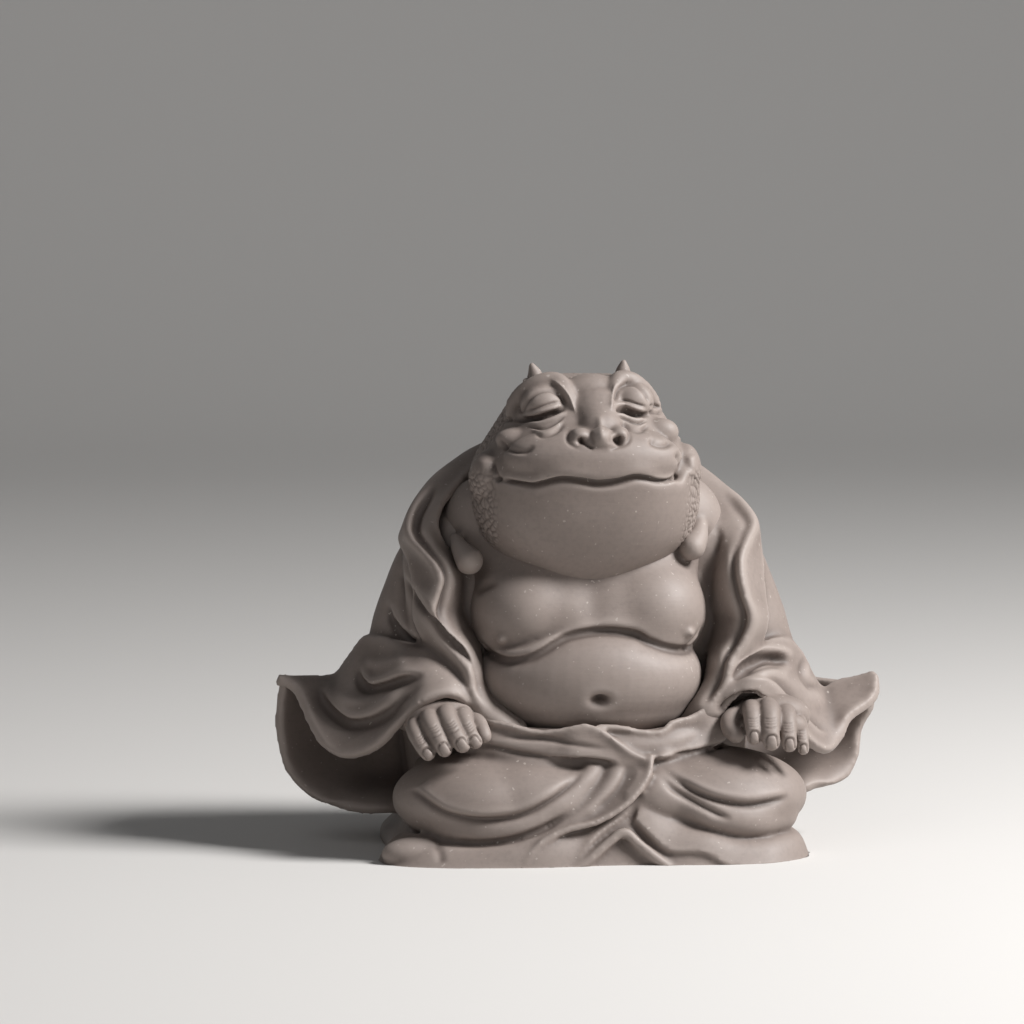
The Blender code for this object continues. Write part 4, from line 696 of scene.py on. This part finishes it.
# lids: above the slit a rim and its crease, below it two thin folds
for path, width, height, fade in (
    ([(-12.2, 87.4), (-11.6, 89.6), (-9.6, 92), (-6.6, 92.9), (-4.2, 91.6), (-3.2, 89.4)], 0.45, -0.6, 0.12),
    ([(6.9, 90.2), (7.3, 92.4), (8.7, 93.9), (10.8, 94.1), (13, 92.4), (14.1, 89.8)], 0.45, -0.6, 0.12),
    ([(-14.4, 86.9), (-11.8, 87), (-9.3, 87.1), (-6.4, 87.9), (-2.9, 89)], 0.55, -1.5, 0.2),
    ([(6.8, 89.2), (9, 88.7), (11.4, 87.9), (14, 87.8)], 0.55, -1.5, 0.2),
):
    head.draw(path, width, height, fade=fade)
head.face_up()
for path, width, height in (
    ([(-13.2, 87.7), (-9.5, 88.2), (-6.5, 89.1), (-3.5, 89.9)], 0.35, 0.45),
    ([(7, 90.1), (9.2, 89.9), (11.5, 89.1), (13.7, 88.7)], 0.35, 0.45),
    ([(-11.6, 88.6), (-9.5, 89), (-6.6, 90), (-4, 90.6)], 0.25, -0.3),
    ([(7.4, 90.9), (9.4, 90.7), (11.7, 89.9), (13.4, 89.5)], 0.25, -0.3),
    ([(-12.4, 86.3), (-9.2, 85.9), (-6.6, 86.6), (-4.4, 87.6), (-2.6, 88.6)], 0.4, 0.5),
    ([(7, 88.4), (9.2, 87.2), (11.4, 86.7), (13.8, 87.4)], 0.4, 0.5),
    ([(-11.2, 85.5), (-8.2, 84.9), (-5.6, 85.8), (-3.2, 87.7)], 0.28, -0.5),
    ([(7.2, 87.9), (9.4, 86.5), (11.6, 86), (13.6, 86.9)], 0.28, -0.5),
    ([(-10.6, 85), (-8.1, 84.1), (-5.6, 85), (-3.4, 86.9)], 0.4, 0.4),
    ([(7.5, 87.2), (9.6, 85.7), (11.8, 85.3), (13.4, 86.4)], 0.4, 0.4),
    ([(-9.6, 83.9), (-7.8, 83.4), (-5.4, 84.2), (-3.2, 86.1)], 0.45, -0.45),
    ([(7.5, 86.4), (9.6, 84.9), (11.9, 84.5), (13.8, 85.8)], 0.45, -0.45),
    ([(-16.4, 86.6), (-15, 86.9), (-13.6, 87)], 0.4, -0.5),
    ([(13.8, 89.6), (15, 89.8), (16.6, 89.5)], 0.35, -0.5),
    ([(13.6, 88.3), (15, 88.4), (16.8, 88.1)], 0.35, -0.5),
):
    head.draw(path, width, height)
x, y, z = head.points.T
sides = np.clip((np.abs(x) - 17.8) / 2.4, 0, 1) * np.clip((79.5 - z) / 3, 0, 1) * np.clip((y + 22) / 4, 0, 1)
temples = np.clip((y + 12.5) / 4, 0, 1) * np.clip((z - 78) / 3, 0, 1)
scaly = np.maximum(sides, np.maximum(temples, np.clip((y + 2) / 4, 0, 1))) * np.clip((97.2 - z) / 0.6, 0, 1)
head.pebble(scaly, SCALE_SIZE, SCALE_HEIGHT, SCALE_SEED)
head_piece = finished("toad_head", head, HEAD_TRIANGLES)


# The legs: folded under the robe's skirt, the cloth drawn tight over the knees and lapped at the middle.
# A sash of folded cloth lies between belly and lap. Sheets of clay are laid on one by one, each over the last.

LEG_GRAIN = 0.4
KNEE_GRAIN = 0.6
LEG_TRIANGLES = 190000
SHEET_THICKNESS = 1.3

leg_lumps = ball((0, -8, 10.5), (36, 26, 10.5)) + ball((-22, -19, 11.8), (18.8, 17, 9.6))
leg_lumps += ball((-12, -22, 11.8), (18, 14, 9.2), (0, 5, 0)) + ball((25, -19, 12), (19.6, 17, 9.8))
leg_lumps += ball((14, -20, 12.2), (15, 14.5, 9)) + ball((0, 1, 14), (35, 30, 13))
leg_lumps += ball((8, -20, 9.5), (17, 12, 9.5))
leg_lumps += rounded_stack(
    [(-1, 41, -36.6, 36.6), (0.9, 41, -36.2, 36.6), (2.4, 40.2, -35.2, 35.6), (4.2, 38.2, -33.6, 34),
     (7.5, 36, -32.2, 33), (14, 33, -29, 31)],
    power=3.6,
)
rolls = [
    (
        [(-33.5, 6.4, -23.5), (-25, 4.4, -29.6), (-14, 5, -32.4), (-5.5, 8.6, -32.2), (0.8, 13.6, -30.4),
         (4.4, 17.4, -28.4)], [2.6, 3.5, 3.8, 3.4, 2.5, 1.4],
    ),
    ([(15.8, 13.6, -28.6), (20.4, 9.8, -31.4), (27, 7, -33), (34.5, 5.8, -31.4), (41, 6.4, -26)],
     [1.5, 2.6, 3.6, 4, 3.4]),
    ([(-27, 26.5, -16), (-20.5, 22.4, -22), (-10, 20.6, -25), (2, 20.4, -26), (12, 20, -26),
      (20, 21.6, -23.4), (27, 24.6, -17)], [3.4, 3.8, 4, 4, 4, 3.6, 3.4]),
]
for path, radii in rolls:
    leg_lumps += rope(seen(path), radii, 60)
leg_lumps += ball(seen([(2.2, 20.4, -27.4)])[0], (8.6, 3.8, 3.2))
sash_left = [
    [(-22.4, 31.6, -18.8), (-20.7, 28.4, -22.8), (-18.4, 26.1, -25.6), (-14.5, 25.2, -27.4),
     (-9.1, 23.8, -28.4), (-5.8, 24, -29), (-2.3, 24.8, -29.4), (1.2, 25.3, -29.6), (4.6, 23.8, -30.4),
     (7.5, 21.7, -30.8), (10.4, 19.6, -31), (14.2, 18, -30.6)],
    [(-23.4, 27, -18.4), (-21.4, 24.6, -21), (-18.4, 23, -23.2), (-14, 22, -24.6), (-9.1, 21.4, -25.8),
     (-5.4, 21.8, -27.8), (-1.8, 22.4, -29.4), (1.6, 22.6, -29.8), (4.8, 21.6, -30), (7.5, 20, -30.2),
     (10.4, 18.4, -30.4), (14.2, 17.2, -30)],
    [(-23.4, 20.6, -20.4), (-21, 19.8, -23.2), (-18, 19.2, -25.8), (-13.6, 18.6, -27.4), (-9, 18.2, -28.6),
     (-5, 18, -29.6), (-1.6, 18, -30.6), (1.8, 18, -30.8), (5, 17.6, -30.8), (7.6, 17.2, -30.6),
     (10.4, 16.8, -30.4), (14.2, 16.2, -29.8)],
]
sash_right = [
    [(3, 25.2, -29), (8.1, 24.7, -29), (12, 23.9, -28.6), (16.1, 24, -27.8), (18.4, 25.8, -26.4),
     (22.4, 26.9, -24.4), (25.3, 28.8, -23.2), (26.8, 31.4, -20.8)],
    [(4, 22.6, -28.4), (8.6, 22.2, -27), (12.4, 21.4, -26.6), (16.8, 21.4, -27.2), (19.2, 22.4, -25.2),
     (23, 23.4, -24), (26.4, 24.8, -23), (28.4, 27.6, -20.8)],
    [(6, 18.8, -29.4), (9.4, 18.6, -28.8), (12.8, 18.2, -29), (16.6, 18.2, -30), (19.6, 18.8, -28),
     (23.6, 19.4, -26.4), (27.6, 20.4, -24), (30, 22, -21)],
]
flap = [
    [(5.2, 17.6, -27.6), (3.4, 13.4, -30.2), (-0.6, 9, -32.2), (-6, 5.2, -33.2), (-12, 2.4, -33.8),
     (-18, -0.8, -34.8), (-22, -4.6, -36.8)],
    [(7.8, 18.4, -29.2), (6.5, 14.2, -32), (3, 9.6, -34), (-1.6, 6.2, -35), (-7.5, 3.2, -35.4),
     (-13.4, -0.4, -36.6), (-16.5, -4.6, -38.4)],
    [(11.6, 18.2, -28.8), (10.6, 14.2, -31.4), (7.4, 9.6, -33.6), (2.2, 6, -34.8), (-4, 4, -35.2),
     (-9.8, 0.6, -36.6), (-13, -4.6, -38.6)],
    [(14.7, 19, -30.4), (14, 14.8, -33), (10.2, 9.6, -35.6), (3.8, 5.6, -37), (-3.2, 3.8, -37.4),
     (-8.6, 0.8, -38), (-11.6, -4.6, -38.9)],
]
under_flap = [
    [(12.6, 15, -28.5), (10.5, 10, -30.5), (5.5, 6, -32.4), (0, 3, -33.6), (-4, -0.5, -35.4),
     (-7, -4.6, -37.4)],
    [(14.9, 14, -30), (13.2, 11, -31.6), (9.8, 7.2, -33.6), (5.2, 4, -35.2), (1.6, 0.6, -36.6),
     (-1.8, -4.6, -38.2)],
]
left_hem = [
    [(-36, 2.8, -20), (-34.4, 2.8, -25), (-31, 2.4, -28), (-26, 2.2, -29.6), (-20, 2.2, -30.6),
     (-12, 3.2, -31.8), (-6, 4.4, -33), (3, 4.6, -33.8), (12, 5.6, -33.6)],
    [(-39.2, 0.6, -22), (-37, 0.4, -28), (-33, 0, -31.8), (-27, -0.4, -34.2), (-20, -0.6, -35.4),
     (-12, 0, -36.8), (-6, 0.6, -37), (4, 0.4, -35.6), (14, 0.6, -35.2)],
    [(-41.2, -3.6, -23.6), (-39.4, -4, -30.6), (-34.8, -4.2, -35), (-27, -4.6, -37.8), (-20, -4.6, -38.6),
     (-12, -4.6, -38.9), (-6, -4.6, -38.7), (5, -4.6, -37.2), (15, -4.6, -37)],
]
right_hem = [
    [(13.4, 13, -29.4), (16.6, 9.2, -30.6), (21, 6.2, -31.4), (26.6, 4, -31.6), (33, 2.8, -31),
     (38.6, 2.8, -28.6), (41.6, 3.4, -24), (42.4, 3.6, -18)],
    [(11.8, 9.2, -32.6), (14.8, 5.8, -34.4), (19.2, 3, -35.4), (25.8, 2, -36), (31.6, 0.2, -35.8),
     (39.4, 0.6, -33), (43.8, 1.2, -27.6), (44.8, 1.4, -20)],
    [(10.6, 5.8, -34.8), (13.8, 2.6, -36.6), (17.8, -0.4, -37.6), (24.4, -0.8, -38), (29.8, -3.4, -38.4),
     (38.6, -4.2, -36.8), (45.2, -4, -30.2), (46.8, -3.8, -21.4)],
]
under_hem = [
    [(10.4, 7, -32.6), (13, 3.6, -34), (17, 1, -35.4), (23, 0.2, -36.4), (30, -0.8, -36.6)],
    [(8, 2.6, -35.2), (11.6, -1, -36.6), (16.4, -3.8, -37.6), (23, -4.8, -38.4), (31, -4.8, -38.4)],
]
leg_lumps = press("knees", leg_lumps, KNEE_GRAIN).relax(14).lumps()
leg_lumps += ball(seen([(-33.2, -1, -29.8)])[0], (7.4, 4.2, 3.5))
leg_lumps += rope(
    seen(
        [(-1.4, -4.4, -38), (2.4, -1.2, -37.4), (5.6, 1.6, -36.8), (8.6, 3.4, -36.4), (11.4, 1.2, -36.9),
         (14.6, -1.4, -37.6), (18.6, -4.4, -38)]
    ),
    [0.9, 1, 1, 1.1, 1, 1, 0.9],
    60,
)
for rows in (sash_left, sash_right, flap, under_flap, left_hem, right_hem, under_hem):
    leg_lumps += cloth(seen(rows), SHEET_THICKNESS, (60, 150))
legs = press("toad_legs", leg_lumps, LEG_GRAIN).relax(8)
left_upper = [(-34, 12.6), (-32.9, 11.4), (-27.1, 7.5), (-18.6, 6.4), (-10.1, 8.3), (-2.7, 13.2), (1.7, 17.4)]
right_upper = [(15.3, 17.4), (21.1, 13.2), (26.7, 10.6), (33.5, 9.3), (39.7, 10.1), (42.6, 11.4)]
for path in (left_upper, right_upper):
    legs.draw(path, 2.4, 0.5, "lap", fade=0.3)
    legs.draw([(u, v - 0.3) for u, v in path], 0.8, -0.9, fade=0.3)
for path, width, height, fade in (
    ([(15.3, 15.2), (19.9, 11.2), (26.7, 7.4), (31, 5.8)], 0.8, -0.9, 0.3),
    ([(-31.5, 2.4), (-27, 1.5), (-20, 1.3), (-13, 2.4), (-7, 4.6), (-1.6, 8.2)], 0.7, -0.7, 0.2),
    ([(-29.6, 1.6), (-28.6, -0.6), (-28.2, -3)], 0.9, -0.35, 0.25),
    ([(9.6, 17.2), (8.6, 13.8), (6, 10.4), (1.6, 7.2)], 1, -0.6, 0.25),
    ([(12, 16.8), (10.8, 13.4), (8, 9.8)], 1, 0.35, 0.25),
    ([(-23, 20.2), (-19.3, 20.7), (-12.4, 19.2), (-5, 18.2), (3, 17.6), (8, 17.2)], 0.6, -0.7, 0.25),
    ([(18, 18.6), (24, 19.6), (30, 20.8)], 0.6, -0.7, 0.25),
    ([(-18.6, 23.2), (-12, 22.4), (-7.2, 22.2), (0, 20.9), (6.6, 20)], 0.6, -0.5, 0.25),
):
    legs.draw(path, width, height, fade=fade)
legs_piece = finished("toad_legs", legs, LEG_TRIANGLES)


# The hands: plump and human, laid over the knees, with short nails.
# Each finger is a bent roll of clay; nails and knuckle wrinkles are scribed once the fingers are joined.

HAND_GRAIN = 0.22
HAND_TRIANGLES = 80000
FINGER_RADIUS = 1.75

left_fingers = [
    ([(-33.4, 25.2, -21), (-33.6, 23.8, -27), (-32.3, 21, -30.2), (-31, 19.3, -31.3)], 0.92),
    ([(-30.4, 27, -20), (-30.7, 25.7, -27.2), (-29, 22.4, -30.9), (-27.7, 20.2, -32)], 1),
    ([(-27, 27.8, -20), (-27.3, 26.5, -27.2), (-25.5, 23.2, -31), (-24.1, 21.1, -32.1)], 1.04),
    ([(-23.8, 27.4, -20), (-23.9, 26.2, -26.6), (-22.6, 23.4, -30), (-21.5, 21.7, -31.2)], 0.94),
    ([(-23.4, 26.4, -19), (-21.4, 25.6, -23.6), (-20.2, 24, -26.6), (-19.7, 22.8, -27.8)], 0.95),
]
right_fingers = [
    ([(34.6, 28.4, -20), (34.7, 27.4, -27), (34.8, 24.4, -30.4), (35, 22.4, -31.4)], 0.96),
    ([(38, 28.6, -20), (38.2, 27.4, -27.6), (38.3, 23.8, -31.2), (38.5, 21.4, -32.1)], 1.1),
    ([(41.2, 27.8, -20), (41.8, 26.4, -27), (42, 23, -30.4), (42.2, 20.9, -31.3)], 0.98),
    ([(43.8, 26.4, -20), (44.6, 24.8, -25.4), (44.9, 21.8, -28.6), (45.1, 19.9, -29.6)], 0.76),
    ([(34, 27.4, -19), (30.8, 25.8, -23.2), (30.4, 24, -26.2), (31.4, 22.8, -27.8)], 1.1),
]


def hand(name, fingers, palm, web):
    """Palm, four bent fingers and a thumb, pressed together. A nail is a round-topped groove at each tip."""
    back, wrist, between = seen([palm, (palm[0], palm[1] + 2.5, palm[2] + 9), web])
    lumps = ball(back, (8.4, 6.6, 4.6), (-18, 0, 0)) + rope([wrist, back], [5.4, 5])
    lumps += ball(between, (6.2, 3.4, 3.2))
    for path, size in fingers:
        r = FINGER_RADIUS * size
        lumps += rope(seen(path), [r * 1.1, r * 1.16, r * 0.98, r * 0.92])
    skin = press(name, lumps, HAND_GRAIN).relax(5)
    for path, size in fingers[:4]:
        r = FINGER_RADIUS * size
        tip = np.array(path[3][:2], float)
        knuckle = np.array(path[1][:2])
        down = tip - np.array(path[2][:2])
        down /= np.linalg.norm(down)
        side = np.array([-down[1], down[0]])

        def at(across, along):
            return tip + side * across * r + down * along * r

        skin.draw([at(-0.66, 0.7), at(-0.68, 0.1), at(-0.6, -0.5), at(-0.3, -0.76), at(0.3, -0.76), at(0.6, -0.5),
                   at(0.68, 0.1), at(0.66, 0.7)], 0.22, -0.42, fade=0.05)
        skin.draw([at(-0.6, 0.85), at(0, 0.98), at(0.6, 0.85)], 0.22, -0.3, fade=0.1)
        for step in (-0.35, 0, 0.35):
            across = side * 0.75 * r
            middle = knuckle + down * (1.6 + step * 1.5)
            skin.draw([middle - across, middle + down * 0.18, middle + across], 0.16, -0.14)
        joint = (np.array(path[2][:2]) + knuckle) / 2 + down * 1.1
        skin.draw([joint - side * 0.8 * r, joint + down * 0.2, joint + side * 0.8 * r], 0.2, -0.16)
    return skin


left_hand = hand("toad_hand_left", left_fingers, (-28.4, 26, -19.5), (-27.6, 24.2, -27))
right_hand = hand("toad_hand_right", right_fingers, (38.6, 26.4, -19.5), (39.6, 24.6, -27))
left_hand_piece = finished("toad_hand_left", left_hand, HAND_TRIANGLES)
right_hand_piece = finished("toad_hand_right", right_hand, HAND_TRIANGLES)


# The fired clay: grey-brown, unglazed and softly burnished, with painted shade darkening the folds and painted
# light paling the edges.


class Wire:
    """A number or colour on its way through the material, with sums written as ordinary expressions."""

    def __init__(self, nodes, links, socket):
        self.nodes, self.links, self.socket = nodes, links, socket

    def node(self, kind, settings=None, **values):
        """A node of any kind: its settings first, then a value or a wire for each socket, by name or number."""
        made = self.nodes.new(kind)
        for key, value in (settings or {}).items():
            setattr(made, key, value)
        for key, value in values.items():
            socket = made.inputs[int(key) if key.isdigit() else key.replace("_", " ")]
            if isinstance(value, Wire):
                self.links.new(value.socket, socket)
            else:
                socket.default_value = value
        return made

    def out(self, made, name=0):
        """The wire that leaves a node by one of its outputs."""
        return Wire(self.nodes, self.links, made.outputs[name])

    def maths(self, operation, a, b):
        """The sum or product of two numbers."""
        return self.out(self.node("ShaderNodeMath", {"operation": operation}, **{"0": a, "1": b}))

    def __add__(self, other):
        return self.maths("ADD", self, other)

    def __radd__(self, other):
        return self.maths("ADD", other, self)

    def __mul__(self, other):
        return self.maths("MULTIPLY", self, other)

    def spread(self, low, high, to_low=0, to_high=1):
        """The value's place between low and high, carried to another range and held there."""
        ends = {"From_Min": low, "From_Max": high, "To_Min": to_low, "To_Max": to_high}
        return self.out(self.node("ShaderNodeMapRange", Value=self, **ends))

    def mixed(self, a, b):
        """Colour a where the value is 0 and b where it is 1."""
        a, b = (value if isinstance(value, Wire) else (*value, 1) for value in (a, b))
        return self.out(self.node("ShaderNodeMix", {"data_type": "RGBA"}, **{"0": self, "6": a, "7": b}), 2)


def clay_material():
    """Fired clay. Noise at three scales stirs two browns; the hollow attribute paints shade into folds and paints
    light onto edges.
    """
    made = bpy.data.materials.new("fired_clay")
    made.use_nodes = True
    nodes, links = made.node_tree.nodes, made.node_tree.links
    shader = nodes["Principled BSDF"]
    place = Wire(nodes, links, nodes.new("ShaderNodeTexCoord").outputs["Object"])

    def noise(scale, detail, stretch=(1, 1, 1)):
        """Smooth noise through the clay itself, so that it runs on over every edge."""
        turned = place.out(place.node("ShaderNodeMapping", Vector=place, Scale=stretch))
        return place.out(place.node("ShaderNodeTexNoise", Vector=turned, Scale=scale, Detail=detail), "Fac")

    hollow = place.out(place.node("ShaderNodeAttribute", {"attribute_name": "hollow"}), "Fac")
    cloudy = noise(45, 3).spread(0.35, 0.65)
    grain = noise(2600, 2)
    colour = cloudy.mixed((0.238, 0.194, 0.172), (0.202, 0.162, 0.142))
    colour = (noise(900, 3).spread(0.45, 0.75) * 0.35).mixed(colour, (0.15, 0.12, 0.107))
    # painted shade: where the skin lies hollow, in folds and recesses, the colour is darkened towards a near-black
    # brown
    colour = hollow.spread(0.5, 0.95, 0, 0.75).mixed(colour, (0.085, 0.064, 0.055))
    # painted light: where the skin stands out, on edges and crests, the colour is paled towards a light brown
    colour = hollow.spread(0.5, 0.15, 0, 0.55).mixed(colour, (0.335, 0.282, 0.254))
    colour = (noise(1400, 0).spread(0.8, 0.83) * 0.45).mixed(colour, (0.46, 0.41, 0.37))
    links.new(colour.socket, shader.inputs["Base Color"])
    rough = 0.5 + noise(300, 3) * 0.14 + grain * 0.06
    links.new(rough.socket, shader.inputs["Roughness"])
    height = grain * 0.35 + noise(700, 3, (0.25, 0.25, 2.2)) * 0.8
    bump = place.node("ShaderNodeBump", Height=height, Strength=0.16, Distance=0.00025)
    links.new(bump.outputs["Normal"], shader.inputs["Normal"])
    return made


clay = clay_material()
for piece in (robe_piece, body_piece, head_piece, legs_piece, left_hand_piece, right_hand_piece):
    piece.data.materials.clear()
    piece.data.materials.append(clay)


# The studio: one sheet of pale matt paper that lies under the figure and curves up behind it.
# Two soft boxes light it, a strong one from the camera's right and a broad weak one from its left.


def paper_sweep():
    """Floor and backdrop in one sheet: a profile that runs level, curves up and stands, carried along X."""
    run = np.linspace(0, 1, 60)
    bend = np.clip((run - 0.45) / 0.2, 0, 1) * math.pi / 2
    y = np.where(run < 0.45, -1.6 + run / 0.45 * 2.6, 1.0 + 0.6 * np.sin(bend))
    z = np.where(run < 0.45, 0.0, 0.6 * (1 - np.cos(bend))) + np.clip(run - 0.65, 0, 1) / 0.35 * 2.4
    across = np.linspace(-3, 3, 5)
    points = np.stack([a + np.zeros((60, 5)) for a in (across, y[:, None], z[:, None])], axis=-1)
    row, column = np.meshgrid(np.arange(59), np.arange(4), indexing="ij")
    corner = row * 5 + column
    faces = np.stack([corner, corner + 1, corner + 6, corner + 5], axis=-1).reshape(-1, 4)
    return object_of("paper_sweep", [(points.reshape(-1, 3), faces.tolist())])


sweep = paper_sweep()
sweep.data.shade_smooth()
paper = bpy.data.materials.new("paper")
paper.use_nodes = True
surface = paper.node_tree.nodes["Principled BSDF"].inputs
surface["Base Color"].default_value = (0.62, 0.6, 0.58, 1)
surface["Roughness"].default_value = 0.9
sweep.data.materials.append(paper)


def soft_lamp(name, place, size, power):
    """A square soft box that faces the figure's chest."""
    data = bpy.data.lights.new(name, "AREA")
    data.size = size
    data.energy = power
    lamp = placed(name, data)
    lamp.location = place
    lamp.rotation_mode = "QUATERNION"
    lamp.rotation_quaternion = (Vector((0, 0, 0.05)) - Vector(place)).to_track_quat("-Z", "Y")


soft_lamp("key", (0.66, -0.3, 0.66), 0.3, 17)
soft_lamp("fill", (-0.6, -0.8, 0.9), 0.8, 1.5)
world = bpy.data.worlds.new("studio")
world.use_nodes = True
sky = world.node_tree.nodes["Background"].inputs
sky["Color"].default_value = (0.9, 0.95, 1.0, 1)
sky["Strength"].default_value = 0.09
scene.world = world
scene.view_settings.view_transform = "Standard"
